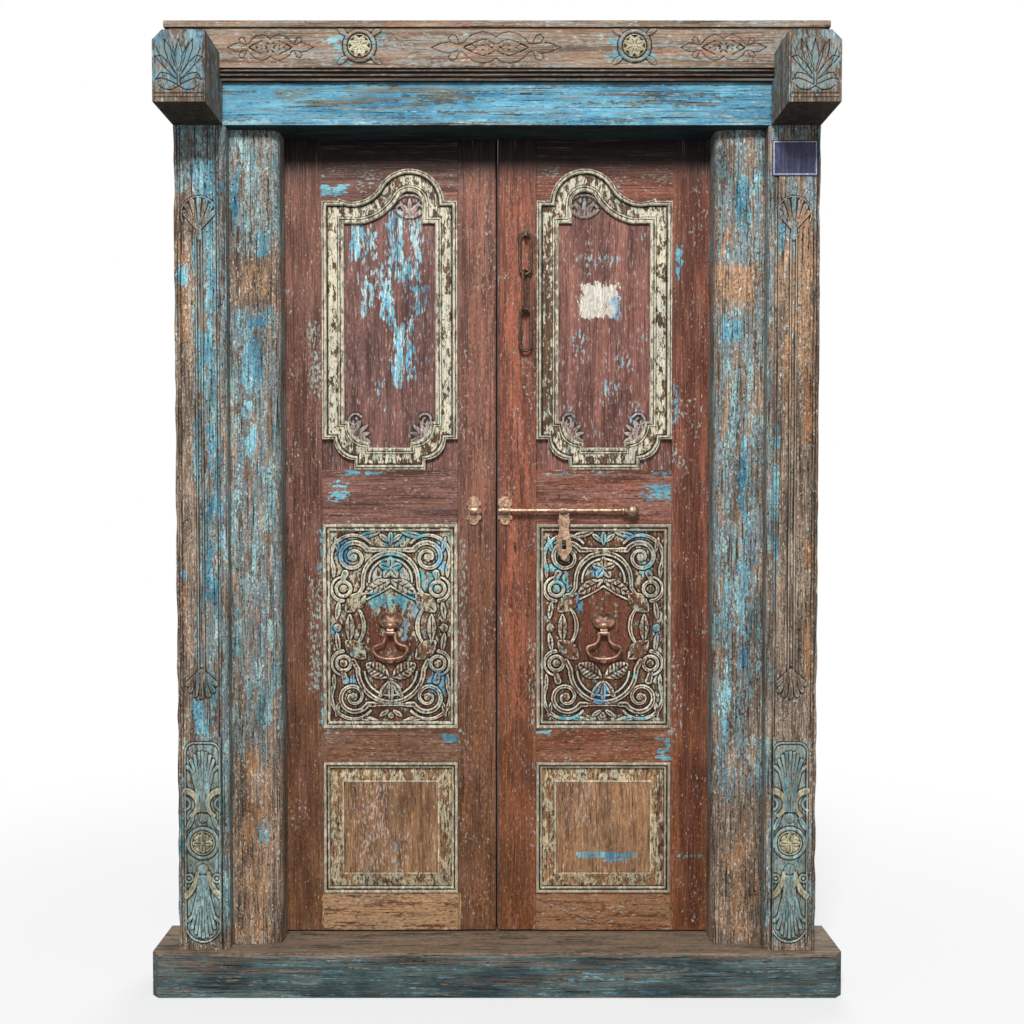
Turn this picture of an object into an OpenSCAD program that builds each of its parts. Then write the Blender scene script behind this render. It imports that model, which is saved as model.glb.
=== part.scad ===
// Carved double door with its frame: two panelled leaves on wooden pivots behind a layered frame.
// Millimetres, +Z up, the front faces -Y, the origin is on the floor under the middle of the whole part.
// Pieces that come in pairs are drawn for the right hand (+X) and mirrored for the left.

/* [Opening] */
// Clear width between the two inner jambs
opening_w = 944; // [860:1:1040]
// Clear height from the threshold to the lintel
opening_h = 1776; // [1700:1:1900]

/* [Frame] */
// Width of each inner jamb
jamb_w = 108; // [90:1:130]
// Thickness of each inner jamb from front to rear
jamb_t = 70; // [60:1:90]
// Depth of the jamb faces behind the pilaster faces
jamb_back = 33; // [20:1:45]
// Width of each carved pilaster
pilaster_w = 111; // [106:1:130]
// Height of the threshold
threshold_h = 95; // [80:1:120]
// Reach of the threshold past the pilaster on each side
threshold_over = 54; // [30:1:80]
// Reach of the threshold in front of the pilasters
threshold_out = 24; // [15:1:50]
// Height of the lintel band
lintel_h = 91; // [80:1:110]
// Height of the cornice beam
cornice_h = 118; // [105:1:140]
// Reach of the cornice in front of the pilasters
cornice_out = 23; // [20:1:35]
// Width of each corner bracket
bracket_w = 106; // [90:1:106]
// Height of each corner bracket
bracket_h = 143; // [125:1:155]
// Reach of each corner bracket in front of the pilasters
bracket_out = 152; // [90:1:190]
// Width of the small enamel plate
plate_w = 98; // [80:1:105]
// Height of the small enamel plate
plate_h = 76; // [60:1:100]

/* [Leaves] */
// Thickness of each leaf
leaf_t = 36; // [34:1:42]
// Overlap of each leaf behind its jamb
leaf_lap = 24; // [21:1:36]
// Width of each hinge stile
hinge_stile_w = 105; // [95:1:120]
// Width of each meeting stile
meeting_stile_w = 86; // [80:1:100]
// Height of each bottom rail
bottom_rail_h = 84; // [70:1:110]
// Height of the space for each lower panel
lower_panel_h = 297; // [250:1:330]
// Height of each frieze rail
frieze_rail_h = 76; // [64:1:100]
// Height of the space for each carved panel
carved_panel_h = 461; // [420:1:500]
// Height of each lock rail
lock_rail_h = 121; // [110:1:140]
// Height of each top rail beside its arch
top_rail_h = 152; // [140:1:175]

/* [Mouldings and carving] */
// Radius of the arch over each upper panel, as a share of the panel's width
arch_share = 0.257; // [0.24:0.001:0.27]
// Width of the moulding round each upper panel
upper_band = 50; // [44:1:54]
// Width of the moulding round each carved panel
carved_band = 16; // [12:1:22]
// Width of the moulding round each lower panel
lower_band = 14; // [10:1:20]
// Width of the bevel round each raised lower panel
bevel_w = 33; // [20:1:45]
// Height of the carving above its ground on the leaves
relief = 6; // [4:0.5:7]
// Height of the carving above the faces of the frame
frame_relief = 3.5; // [2:0.5:5]

/* [Ironwork] */
// Diameter of the bolt rod
rod_d = 10.5; // [8:0.5:13]
// Length of the bolt rod with its knob
rod_l = 314; // [290:1:330]
// Travel of the bolt from drawn to thrown
bolt_travel = 109; // [100:1:112]
// Width of the knocker ring
ring_w = 80; // [66:1:90]
// Drop of the knocker ring below its pin
ring_drop = 60; // [50:1:70]
// Thickness of the chain wire
wire_d = 6.5; // [5:0.5:7]
// Length of each chain link
link_l = 99; // [85:1:110]
// Width of each chain link
link_w = 31; // [28:1:36]

/* [Hidden] */
$fn = 48;

// Clearances, the overrun that takes every cut past its faces, and the bond of pieces that are one solid
fit = 0.2;
cut = 5;
bond = 1;
leaf_gap = 1.5;
meeting_gap = 4;
floor_gap = 5;
head_lap = 18;
head_gap = 8;
swing_gap = 8;
rear_margin = 3.5;

// Levels from front to rear
frame_d = jamb_back + jamb_t + leaf_gap + leaf_t + rear_margin;
face_y = (bracket_out - frame_d) / 2;
rear_y = face_y + frame_d;
jamb_y = face_y + jamb_back;
post_rear_y = jamb_y + jamb_t;
leaf_y = post_rear_y + leaf_gap;
axis_y = leaf_y + leaf_t / 2;

// Levels across, from the middle outwards
half_open = opening_w / 2;
pilaster_x = half_open + jamb_w;
half_frame = pilaster_x + pilaster_w;
leaf_out_x = half_open + leaf_lap;
axis_x = leaf_out_x - leaf_t / 2;
meet_x = meeting_gap / 2;
panel_in_x = meet_x + meeting_stile_w;
panel_out_x = leaf_out_x - hinge_stile_w;
panel_w = panel_out_x - panel_in_x;
panel_mid_x = (panel_in_x + panel_out_x) / 2;

// Levels upwards
head_z = threshold_h + opening_h;
band_z = head_z + lintel_h;
top_z = band_z + cornice_h;
leaf_z = threshold_h + floor_gap;
leaf_top_z = head_z + head_lap;
leaf_h = leaf_top_z - leaf_z;
lower_z = leaf_z + bottom_rail_h;
frieze_z = lower_z + lower_panel_h;
carved_z = frieze_z + frieze_rail_h;
lock_z = carved_z + carved_panel_h;
upper_z = lock_z + lock_rail_h;
shoulder_z = leaf_top_z - top_rail_h;

// Joints of the frame: tenons on the posts and brackets
post_tenon = 30;
post_tenon_in = 16;
bracket_tenon = 40;
bracket_tenon_in = 34;

// Round pivots of the leaves and their iron seats
pivot_r = 11;
pivot_gap = 0.3;
seat_wall = 4;
seat_floor = 6;
lower_pivot = 22;
upper_pivot = 28;
seat_spare = 3;
seat_r = pivot_r + pivot_gap + seat_wall;
cup_h = lower_pivot + seat_spare + seat_floor;
bush_h = upper_pivot + seat_spare;

// Joints of the leaves: grooves for the panels and tenons on the rails
groove_w = 8;
groove_d = 10;
groove_in = 14;
tongue_gap = 1;
tenon_t = 12;
tenon_l = 45;
tenon_in = 12;
panel_in = 10;
panel_t = 16;
panel_lap = 12;
edge_ease = 3;

// Frame profiles
sill_ease = 7;
sill_end_ease = 16;
arris_w = 20;
arris_quirk = 3;
bead_w = 17;
bead_quirk = 3;
bead_gap = 4;
reed_pitch = 7;
reed_w = 2.4;
reed_d = 2;
reed_in = 6;
lip_h = 12;
lip_out = 3;
step_h = 7;
step_out = 5;
fillet_h = 13;
fillet_out = 6;
fillet_over = 11;
bracket_clip = 20;
plate_t = 2;
plate_round = 3;
plate_up = 32;

// Ogee panel and its moulding
dip_share = 0.224;
arch_in_share = 0.353;
ear_share = 0.122;
arch_r = arch_share * panel_w;
dip_r = dip_share * panel_w;
arch_in = arch_in_share * panel_w;
ear_w = ear_share * panel_w;
arch_drop = 7;
arch_turn = 30;
foot_ear = 26;
foot_r = 46;
foot_h = 22;
ear_fade_share = 0.6;
foot_fade_share = 0.45;
outer_bead = 12;
inner_bead = 8;
bead_out = 5;
hollow_in = 4;
frame_out = 4;
frame_step_in = 2;
field_in = 3;
carved_in = 9;

// Point lists in a plane: arcs, spirals, and bands of changing width along a line
function arc(c, r, a0, a1, n) = [for (i = [0:n]) c + r * [cos(a0 + (a1 - a0) * i / n), sin(a0 + (a1 - a0) * i / n)]];
function spiral(c, r0, r1, a0, a1, n) =
    [for (i = [0:n])
        let (a = a0 + (a1 - a0) * i / n, r = r0 + (r1 - r0) * i / n)
        c + r * [cos(a), sin(a)]];
function across(p, i) =
    let (d = p[min(i + 1, len(p) - 1)] - p[max(i - 1, 0)])
    [-d.y, d.x] / norm(d);
module band(p, w0, w1) {
    n = len(p) - 1;
    function half(i) = (w0 + (w1 - w0) * i / n) / 2;
    polygon(concat(
        [for (i = [0:n]) p[i] + across(p, i) * half(i)],
        [for (i = [n:-1:0]) p[i] - across(p, i) * half(i)]));
}
// Pointed leaf that starts at a point and runs along an angle
module leaf(from, angle, length, width, steps = 5) {
    translate(from) rotate(angle) polygon(concat(
        [for (i = [0:steps]) [length * i / steps, width / 2 * sin(180 * i / steps)]],
        [for (i = [steps - 1:-1:1]) [length * i / steps, -width / 2 * sin(180 * i / steps)]]));
}
// Fan of pointed leaves
module fan(from, angle, spread, count, length, width) {
    for (i = [0:count - 1])
        leaf(from, angle + spread * (i / (count - 1) - 1 / 2), length, width);
}
// Plane drawing in X and Z, raised by t towards the front from the face at y
module raised(y, t) {
    translate([0, y, 0]) rotate([90, 0, 0]) linear_extrude(t) children();
}
// The same, bonded to the face that it is carved on
module carved(y, t) {
    raised(y + bond, t + bond) children();
}
module on_side(side) {
    if (side > 0) children();
    else mirror([1, 0, 0]) children();
}
// Block between two corners
module block(low, high) {
    translate(low) cube(high - low);
}

// Frame

module threshold() {
    half_sill = half_frame + threshold_over;
    front = face_y - threshold_out;
    color("#5d6058") difference() {
        linear_extrude(threshold_h) polygon([
            [-half_sill + sill_end_ease, front], [half_sill - sill_end_ease, front],
            [half_sill, front + sill_end_ease], [half_sill, rear_y],
            [-half_sill, rear_y], [-half_sill, front + sill_end_ease]]);
        translate([-half_sill - cut, front, threshold_h]) rotate([90, 0, 90])
            linear_extrude(2 * (half_sill + cut))
                polygon([[-cut, cut], [-cut, -sill_ease - cut], [sill_ease + cut, cut]]);
        for (side = [-1, 1]) on_side(side) {
            jamb_tenon(fit, -post_tenon - fit, threshold_h + cut);
            pilaster_tenon(fit, -post_tenon - fit, threshold_h + cut);
            translate([axis_x, axis_y, threshold_h - cup_h]) cylinder(r = seat_r, h = cup_h + cut);
        }
    }
}

// Tenon blocks of the posts, grown by the fit; low is measured from the top of the threshold
module jamb_tenon(grow, low, high) {
    block([half_open + post_tenon_in - grow, jamb_y + post_tenon_in - grow, threshold_h + low],
          [pilaster_x - post_tenon_in + grow, post_rear_y - post_tenon_in + grow, high]);
}
module pilaster_tenon(grow, low, high) {
    block([pilaster_x + post_tenon_in - grow, face_y + post_tenon_in - grow, threshold_h + low],
          [half_frame - post_tenon_in + grow, post_rear_y - post_tenon_in + grow, high]);
}

module jamb(side) {
    turn_r = arris_w - arris_quirk;
    color("#86969a") on_side(side) {
        translate([0, 0, threshold_h]) linear_extrude(opening_h) polygon(concat(
            [[pilaster_x, jamb_y], [pilaster_x, post_rear_y], [half_open, post_rear_y]],
            arc([half_open + turn_r, jamb_y + arris_quirk + turn_r], turn_r, 180, 270, 6),
            [[half_open + turn_r, jamb_y]]));
        jamb_tenon(0, -post_tenon, threshold_h + bond);
        jamb_tenon(0, opening_h - bond, head_z + post_tenon);
    }
}

// Section of a pilaster: two reeds by the outer edge, a bead between quirks by the inner edge
function pilaster_section() = concat(
    [[half_frame, post_rear_y], [pilaster_x, post_rear_y], [pilaster_x, face_y + bead_quirk]],
    arc([pilaster_x + bead_w / 2, face_y + bead_w / 2], bead_w / 2, 205, 335, 6),
    [[pilaster_x + bead_w, face_y + bead_quirk], [pilaster_x + bead_w + bead_gap, face_y + bead_quirk],
     [pilaster_x + bead_w + bead_gap, face_y]],
    [for (i = [1, 0]) each
        let (x = half_frame - reed_in - i * reed_pitch)
        [[x - reed_w, face_y], [x - reed_w / 2, face_y + reed_d], [x, face_y]]],
    [[half_frame, face_y]]);

// Carving of a pilaster, drawn in X and Z with shares of the width and the height of the post
pilaster_mid_share = 0.56;
fan_z_share = 0.885;
stem_low_share = 0.325;
base_top_share = 0.262;
base_low_share = 0.018;
base_half_share = 0.34;
rose_z_share = 0.135;
rose_r_share = 0.29;
rose_ring_share = 0.05;
fan_leaf_share = 0.5;
fan_leaf_w_share = 0.16;
stem_gap_share = 0.075;
stem_w_share = 0.035;
frame_line_share = 0.035;
palm_z_shares = [0.206, 0.092];
palm_leaf_share = 0.62;
palm_leaf_w_share = 0.15;
scroll_z_shares = [0.178, 0.098];
scroll_r_share = 0.2;
scroll_x_share = 0.3;
scroll_w_share = 0.1;
module pilaster_carving() {
    w = pilaster_w;
    mid = [pilaster_x + pilaster_mid_share * w, 0];
    function up(share) = mid + [0, threshold_h + share * opening_h];
    fan_at = up(fan_z_share);
    stem_low = up(stem_low_share);
    rose = up(rose_z_share);
    line = frame_line_share * w;
    half_base = base_half_share * w;
    fan(fan_at, 90, 180, 7, fan_leaf_share * w, fan_leaf_w_share * w);
    fan(stem_low, -90, 150, 5, fan_leaf_share * w, fan_leaf_w_share * w);
    for (side = [-1, 1])
        band([fan_at + [side * stem_gap_share * w, 0], stem_low + [side * stem_gap_share * w, 0]],
             stem_w_share * w, stem_w_share * w);
    band(concat([up(base_low_share) + [half_base, 0]],
                arc(up(base_top_share) - [0, half_base], half_base, 0, 180, 8),
                [up(base_low_share) - [half_base, 0]]), line, line);
    difference() {
        translate(rose) circle(r = rose_r_share * w, $fn = 24);
        translate(rose) circle(r = (rose_r_share - rose_ring_share) * w, $fn = 24);
    }
    for (a = [0:90:270])
        leaf(rose, a, (rose_r_share - rose_ring_share) * w, fan_leaf_w_share * w);
    for (i = [0, 1]) {
        turn = i == 0 ? 1 : -1;
        fan(up(palm_z_shares[i]), 90 * turn, 130, 7, palm_leaf_share * w, palm_leaf_w_share * w);
        for (side = [-1, 1])
            band(arc(up(scroll_z_shares[i]) + [side * scroll_x_share * w, 0], scroll_r_share * w,
                     90 - side * 90 - turn * side * 70, 90 - side * 90 + turn * side * 150, 7),
                 scroll_w_share * w, scroll_w_share * w / 2);
    }
}

module pilaster(side) {
    color("#7f9aa0") on_side(side) {
        translate([0, 0, threshold_h]) linear_extrude(opening_h) polygon(pilaster_section());
        pilaster_tenon(0, -post_tenon, threshold_h + bond);
        pilaster_tenon(0, opening_h - bond, head_z + post_tenon);
        carved(face_y, frame_relief) intersection() {
            offset(delta = fit) pilaster_carving();
            translate([pilaster_x + bead_w + bead_gap + edge_ease, threshold_h + edge_ease])
                square([pilaster_w - bead_w - bead_gap - reed_in - 2 * reed_pitch - edge_ease, opening_h]);
        }
    }
}

module lintel() {
    front = face_y + lip_out;
    rebate_z = head_z + head_lap + head_gap;
    color("#5f96ab") difference() {
        union() {
            block([-half_frame, front, head_z], [half_frame, rear_y, band_z]);
            block([-half_frame, face_y, head_z], [half_frame, front + bond, head_z + lip_h]);
        }
        block([-leaf_out_x - swing_gap, post_rear_y, head_z - cut],
              [leaf_out_x + swing_gap, rear_y + cut, rebate_z]);
        for (side = [-1, 1]) on_side(side) {
            jamb_tenon(fit, opening_h - cut, head_z + post_tenon + fit);
            pilaster_tenon(fit, opening_h - cut, head_z + post_tenon + fit);
            translate([axis_x, axis_y, rebate_z - cut]) cylinder(r = seat_r, h = bush_h + cut);
            bracket_tenon_block(fit, face_y - cut, bracket_tenon + fit);
        }
    }
}

module bracket_tenon_block(grow, front, reach) {
    block([half_frame - bracket_w + bracket_tenon_in - grow, front, head_z + bracket_tenon_in - grow],
          [half_frame - bracket_tenon_in + grow, face_y + reach, band_z - bracket_tenon_in + grow + lip_h]);
}

// Carving of the cornice: two rosettes, and chains of lozenges between and beyond them
rosette_x_share = 0.425;
rosette_r_share = 0.3;
rosette_ring_share = 0.07;
rosette_petal_w_share = 0.13;
lozenge_shares = [0, 0.69];
lozenge_half_share = 0.47;
lozenge_rise_share = 0.34;
lozenge_w_share = 0.045;
lozenge_curl_share = 0.15;
field_mid_share = 0.51;
module cornice_carving() {
    h = cornice_h;
    z = band_z + field_mid_share * h;
    for (side = [-1, 1]) {
        at = [side * rosette_x_share * half_frame, z];
        difference() {
            translate(at) circle(r = rosette_r_share * h, $fn = 24);
            translate(at) circle(r = (rosette_r_share - rosette_ring_share) * h, $fn = 24);
        }
        for (a = [0:45:315])
            leaf(at, a, (rosette_r_share - rosette_ring_share) * h, rosette_petal_w_share * h, 4);
    }
    for (share = [-lozenge_shares[1], lozenge_shares[0], lozenge_shares[1]]) {
        at = [share * half_frame * (half_frame - bracket_w / 2) / half_frame, z];
        for (side = [-1, 1], rise = [-1, 1]) {
            start = at + [0, rise * lozenge_rise_share * h];
            mid = at + [side * lozenge_half_share * h, 0];
            tip = at + [side * 2 * lozenge_half_share * h * (1 - lozenge_curl_share), 0];
            band([start, (start + mid) / 2, mid], lozenge_w_share * h, lozenge_w_share * h);
            band([mid, (mid + tip) / 2 + [0, rise * lozenge_rise_share * h / 2], tip],
                 lozenge_w_share * h, lozenge_w_share * h);
            leaf(mid, rise * (side > 0 ? 125 : 55), lozenge_rise_share * h,
                 lozenge_curl_share * h, 4);
        }
    }
}

module cornice() {
    front = face_y - cornice_out;
    color("#86776b") {
        rotate([90, 0, 90]) translate([0, 0, -half_frame]) linear_extrude(2 * half_frame) polygon([
            [rear_y, band_z], [face_y - cornice_out + 3 * step_out, band_z],
            [face_y - cornice_out + 3 * step_out, band_z + step_h],
            [face_y - cornice_out + 2 * step_out, band_z + step_h],
            [face_y - cornice_out + 2 * step_out, band_z + 2 * step_h],
            [face_y - cornice_out + step_out, band_z + 2 * step_h],
            [face_y - cornice_out + step_out, band_z + 3 * step_h],
            [front, band_z + 3 * step_h], [front, top_z - fillet_h + bond], [rear_y, top_z - fillet_h + bond]]);
        block([-half_frame - fillet_over, front - fillet_out, top_z - fillet_h],
              [half_frame + fillet_over, rear_y, top_z]);
        carved(front, frame_relief) offset(delta = fit) cornice_carving();
    }
}

// Carving of a bracket: a palm of leaves over a base line, inside a border line
palm_base_share = 0.2;
bracket_leaf_share = 0.62;
bracket_leaf_w_share = 0.13;
border_in_share = 0.07;
border_w_share = 0.03;
module bracket_carving() {
    w = bracket_w;
    mid_x = half_frame - w / 2;
    base = [mid_x, head_z + palm_base_share * bracket_h];
    inset = border_in_share * w;
    line = border_w_share * w;
    fan(base, 90, 150, 9, bracket_leaf_share * w, bracket_leaf_w_share * w);
    band([base - [w / 2 - inset, 0], base + [w / 2 - inset, 0]], line, line);
    for (side = [-1, 1])
        band([[mid_x + side * (w / 2 - inset), head_z + inset],
              [mid_x + side * (w / 2 - inset), head_z + bracket_h - bracket_clip - inset]], line, line);
}

module bracket(side) {
    front = face_y - bracket_out + frame_relief;
    top = head_z + bracket_h;
    color("#76898b") on_side(side) {
        difference() {
            translate([half_frame - bracket_w, 0, 0]) rotate([90, 0, 90]) linear_extrude(bracket_w) polygon([
                [front, head_z + edge_ease], [front + edge_ease, head_z], [face_y, head_z], [face_y, band_z],
                [face_y - cornice_out, band_z], [face_y - cornice_out, top], [front, top]]);
            translate([half_frame, front - cut, top]) rotate([-90, 0, 0])
                linear_extrude(bracket_out + 2 * cut)
                    polygon([[cut, -cut], [-bracket_clip - cut, -cut], [cut, bracket_clip + cut]]);
        }
        bracket_tenon_block(0, face_y - bond, bracket_tenon);
        carved(front, frame_relief) intersection() {
            offset(delta = fit) bracket_carving();
            translate([half_frame - bracket_w + edge_ease, head_z + 2 * edge_ease])
                square([bracket_w - 2 * edge_ease, bracket_h - bracket_clip]);
        }
    }
}

module number_plate() {
    x = half_frame - pilaster_w / 2;
    low = [x - plate_w / 2, head_z - plate_up - plate_h];
    color("#4d5680") raised(face_y, plate_t) polygon(concat(
        arc(low + [plate_round, plate_round], plate_round, 180, 270, 3),
        arc(low + [plate_w - plate_round, plate_round], plate_round, 270, 360, 3),
        arc(low + [plate_w - plate_round, plate_h - plate_round], plate_round, 0, 90, 3),
        arc(low + [plate_round, plate_h - plate_round], plate_round, 90, 180, 3)));
}

// Iron seats that the wooden pivots turn in
module pivot_cup(side) {
    color("#3f3a36") on_side(side) translate([axis_x, axis_y, threshold_h - cup_h]) difference() {
        cylinder(r = seat_r, h = cup_h);
        translate([0, 0, seat_floor]) cylinder(r = pivot_r + pivot_gap, h = cup_h);
    }
}
module pivot_bush(side) {
    color("#3f3a36") on_side(side) translate([axis_x, axis_y, head_z + head_lap + head_gap]) difference() {
        cylinder(r = seat_r, h = bush_h);
        translate([0, 0, -cut]) cylinder(r = pivot_r + pivot_gap, h = bush_h + 2 * cut);
    }
}

// Leaves

// Groove along an edge at x, as deep as the panels' tongues need
module edge_groove(low, high) {
    block([low.x, leaf_y + groove_in, low.y], [high.x, leaf_y + groove_in + groove_w, high.y]);
}
// Tenon of a rail that stands from z to z + h, reaching past the panel space by reach, grown by grow
module rail_tenon(z, h, reach, grow) {
    mid_y = leaf_y + leaf_t / 2;
    block([panel_in_x - reach, mid_y - tenon_t / 2 - grow, z + tenon_in - grow],
          [panel_out_x + reach, mid_y + tenon_t / 2 + grow, z + h - tenon_in + grow]);
}
tenon_z = shoulder_z + arch_r - arch_drop + panel_lap;
module rail_mortises() {
    rail_tenon(leaf_z, bottom_rail_h, tenon_l + fit, fit);
    rail_tenon(frieze_z, frieze_rail_h, tenon_l + fit, fit);
    rail_tenon(lock_z, lock_rail_h, tenon_l + fit, fit);
    rail_tenon(tenon_z, leaf_top_z - tenon_z, tenon_l + fit, fit);
}
module stile_cuts() {
    edge_groove([panel_in_x - groove_d, leaf_z - cut], [panel_out_x + groove_d, leaf_top_z + cut]);
    rail_mortises();
}

module hinge_stile(side) {
    color("#77513f") on_side(side) difference() {
        union() {
            translate([0, 0, leaf_z]) linear_extrude(leaf_h) polygon(concat(
                arc([axis_x, axis_y], leaf_t / 2, -90, 90, 18),
                [[panel_out_x, leaf_y + leaf_t], [panel_out_x, leaf_y]]));
            translate([axis_x, axis_y, leaf_z - floor_gap - lower_pivot])
                cylinder(r = pivot_r, h = lower_pivot + floor_gap + bond);
            translate([axis_x, axis_y, leaf_top_z - bond])
                cylinder(r = pivot_r, h = head_gap + upper_pivot + bond);
        }
        stile_cuts();
    }
}
module meeting_stile(side) {
    color("#7d5142") on_side(side) difference() {
        translate([0, 0, leaf_z]) linear_extrude(leaf_h) polygon([
            [meet_x + edge_ease, leaf_y], [panel_in_x, leaf_y], [panel_in_x, leaf_y + leaf_t],
            [meet_x, leaf_y + leaf_t], [meet_x, leaf_y + edge_ease]]);
        stile_cuts();
    }
}

// Straight rail with tenons, grooved for the panels below and above it
module rail(z, h, groove_low, groove_high) {
    difference() {
        union() {
            block([panel_in_x, leaf_y, z], [panel_out_x, leaf_y + leaf_t, z + h]);
            rail_tenon(z, h, tenon_l, 0);
        }
        if (groove_low) edge_groove([panel_in_x - tenon_l - cut, z - cut],
                                    [panel_out_x + tenon_l + cut, z + groove_d]);
        if (groove_high) edge_groove([panel_in_x - tenon_l - cut, z + h - groove_d],
                                     [panel_out_x + tenon_l + cut, z + h + cut]);
    }
}
module lock_rail(side) {
    color("#7a5044") on_side(side) rail(lock_z, lock_rail_h, true, true);
}
module frieze_rail(side) {
    color("#79503f") on_side(side) rail(frieze_z, frieze_rail_h, true, true);
}
module bottom_rail(side) {
    color("#8a6448") on_side(side) rail(leaf_z, bottom_rail_h, false, true);
}

// Outline of the upper panel, moved inwards by d: ogee arch on top, stepped round corners below
function panel_outline(d) =
    let (fade = d / upper_band,
         low_x = panel_in_x + fit + d, high_x = panel_out_x - fit - d,
         c = [panel_in_x + arch_in, shoulder_z - arch_drop],
         r = arch_r - fit - d,
         dip_c = c + (arch_r + dip_r) * [cos(arch_turn), sin(arch_turn)],
         dip = dip_r + fit + d,
         riser_x = panel_out_x - ear_w - d,
         dip_end = 270 + asin((riser_x - dip_c.x) / dip),
         arch_end = 180 - max(0, asin((arch_drop - d) / max(r, arch_drop + d))),
         flat_z = shoulder_z - fit - d,
         base_z = upper_z + fit + d,
         ear = foot_ear * (1 - ear_fade_share * fade),
         rise = foot_h * (1 - foot_fade_share * fade),
         ear_z = base_z + rise + foot_r)
    concat(
        [[low_x, ear_z], [low_x, flat_z], [c.x + r * cos(arch_end), flat_z]],
        arc(c, r, arch_end, arch_turn, 12),
        [for (i = [1:6]) dip_c + dip * [cos(180 + arch_turn + (dip_end - 180 - arch_turn) * i / 6),
                                        sin(180 + arch_turn + (dip_end - 180 - arch_turn) * i / 6)]],
        [[riser_x, flat_z], [high_x, flat_z], [high_x, ear_z]],
        arc([high_x - ear - foot_r, ear_z], foot_r, 0, -90, 5),
        [[high_x - ear - foot_r, base_z], [low_x + ear + foot_r, base_z]],
        arc([low_x + ear + foot_r, ear_z], foot_r, 270, 180, 5));
module outline_ring(d0, d1) {
    difference() {
        polygon(panel_outline(d0));
        polygon(panel_outline(d1));
    }
}

module top_rail(side) {
    color("#6f4a42") on_side(side) difference() {
        union() {
            block([panel_in_x, leaf_y, shoulder_z], [panel_out_x, leaf_y + leaf_t, leaf_top_z]);
            rail_tenon(tenon_z, leaf_top_z - tenon_z, tenon_l, 0);
        }
        raised(leaf_y + leaf_t + cut, leaf_t + 2 * cut) intersection() {
            polygon(panel_outline(-fit));
            translate([panel_in_x, shoulder_z - fit]) square([panel_w, top_rail_h]);
        }
        block([panel_in_x - cut, leaf_y + panel_in, shoulder_z - cut],
              [panel_out_x + cut, leaf_y + leaf_t + cut, tenon_z]);
    }
}

// Flat board with tongues in the side grooves; tongues at the foot and the head are optional
module panel_board(z, h, head_tongue) {
    tongue = groove_d - tongue_gap;
    block([panel_in_x + fit, leaf_y + panel_in, z + fit],
          [panel_out_x - fit, leaf_y + panel_in + panel_t, z + h - fit]);
    block([panel_in_x - tongue, leaf_y + groove_in + fit, z - tongue],
          [panel_out_x + tongue, leaf_y + groove_in + groove_w - fit, z + h + (head_tongue ? tongue : -fit)]);
}

// Small shells carved in the lower corners and the head of the upper panel
shell_share = 0.16;
shell_w_share = 0.045;
module upper_panel(side) {
    size = shell_share * panel_w;
    inset = upper_band + inner_bead;
    color("#7b5f5c") on_side(side) {
        panel_board(upper_z, tenon_z - upper_z, false);
        carved(leaf_y + panel_in, frame_relief) intersection() {
            offset(delta = fit) {
                fan([panel_in_x + inset, upper_z + inset + foot_h], 40, 100, 5, size, shell_w_share * panel_w);
                fan([panel_out_x - inset, upper_z + inset + foot_h], 140, 100, 5, size, shell_w_share * panel_w);
            }
            polygon(panel_outline(upper_band + seat_gap));
        }
    }
}
module upper_moulding(side) {
    base = leaf_y + panel_in;
    color("#cdbfa3") on_side(side) {
        raised(base, panel_in - hollow_in) outline_ring(0, upper_band);
        raised(base, panel_in + bead_out - edge_ease) outline_ring(0, outer_bead);
        raised(base, panel_in + bead_out) outline_ring(edge_ease, outer_bead - edge_ease);
        raised(base, panel_in) outline_ring(upper_band - inner_bead, upper_band);
    }
}

// Square moulding frame in the panel space from z, h high: a bead outside, a lower step inside
module moulding_frame(z, h, width) {
    base = leaf_y + panel_in;
    module ring(d0, d1, t) {
        raised(base, t) difference() {
            translate([panel_in_x + fit + d0, z + fit + d0]) square([panel_w - 2 * (fit + d0), h - 2 * (fit + d0)]);
            translate([panel_in_x + fit + d1, z + fit + d1]) square([panel_w - 2 * (fit + d1), h - 2 * (fit + d1)]);
        }
    }
    ring(0, width, panel_in - frame_step_in);
    ring(0, width / 2, panel_in + frame_out - frame_step_in);
    ring(width / 8, width * 3 / 8, panel_in + frame_out);
}
module carved_moulding(side) {
    color("#b9ab8c") on_side(side) moulding_frame(carved_z, carved_panel_h, carved_band);
}
module lower_moulding(side) {
    color("#a98d70") on_side(side) moulding_frame(lower_z, lower_panel_h, lower_band);
}

// Raised panel: a thick field with a bevel down to its edges
module lower_panel(side) {
    edge = lower_band + fit;
    rise = panel_in - field_in;
    low = [panel_in_x + edge, lower_z + edge];
    high = [panel_out_x - edge, lower_z + lower_panel_h - edge];
    color("#8a6a55") on_side(side) {
        panel_board(lower_z, lower_panel_h, true);
        translate([0, leaf_y + panel_in, 0]) rotate([90, 0, 0]) intersection() {
            rotate([0, 0, 90]) translate([0, -high.x, 0]) rotate([90, 0, 90])
                translate([0, 0, low.y]) linear_extrude(high.y - low.y)
                    polygon([[0, -bond], [high.x - low.x, -bond], [high.x - low.x, 0],
                             [high.x - low.x - bevel_w, rise], [bevel_w, rise], [0, 0]]);
            translate([low.x, 0, 0]) rotate([90, 0, 90]) linear_extrude(high.x - low.x)
                polygon([[low.y, -bond], [high.y, -bond], [high.y, 0],
                         [high.y - bevel_w, rise], [low.y + bevel_w, rise], [low.y, 0]]);
        }
    }
}

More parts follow.
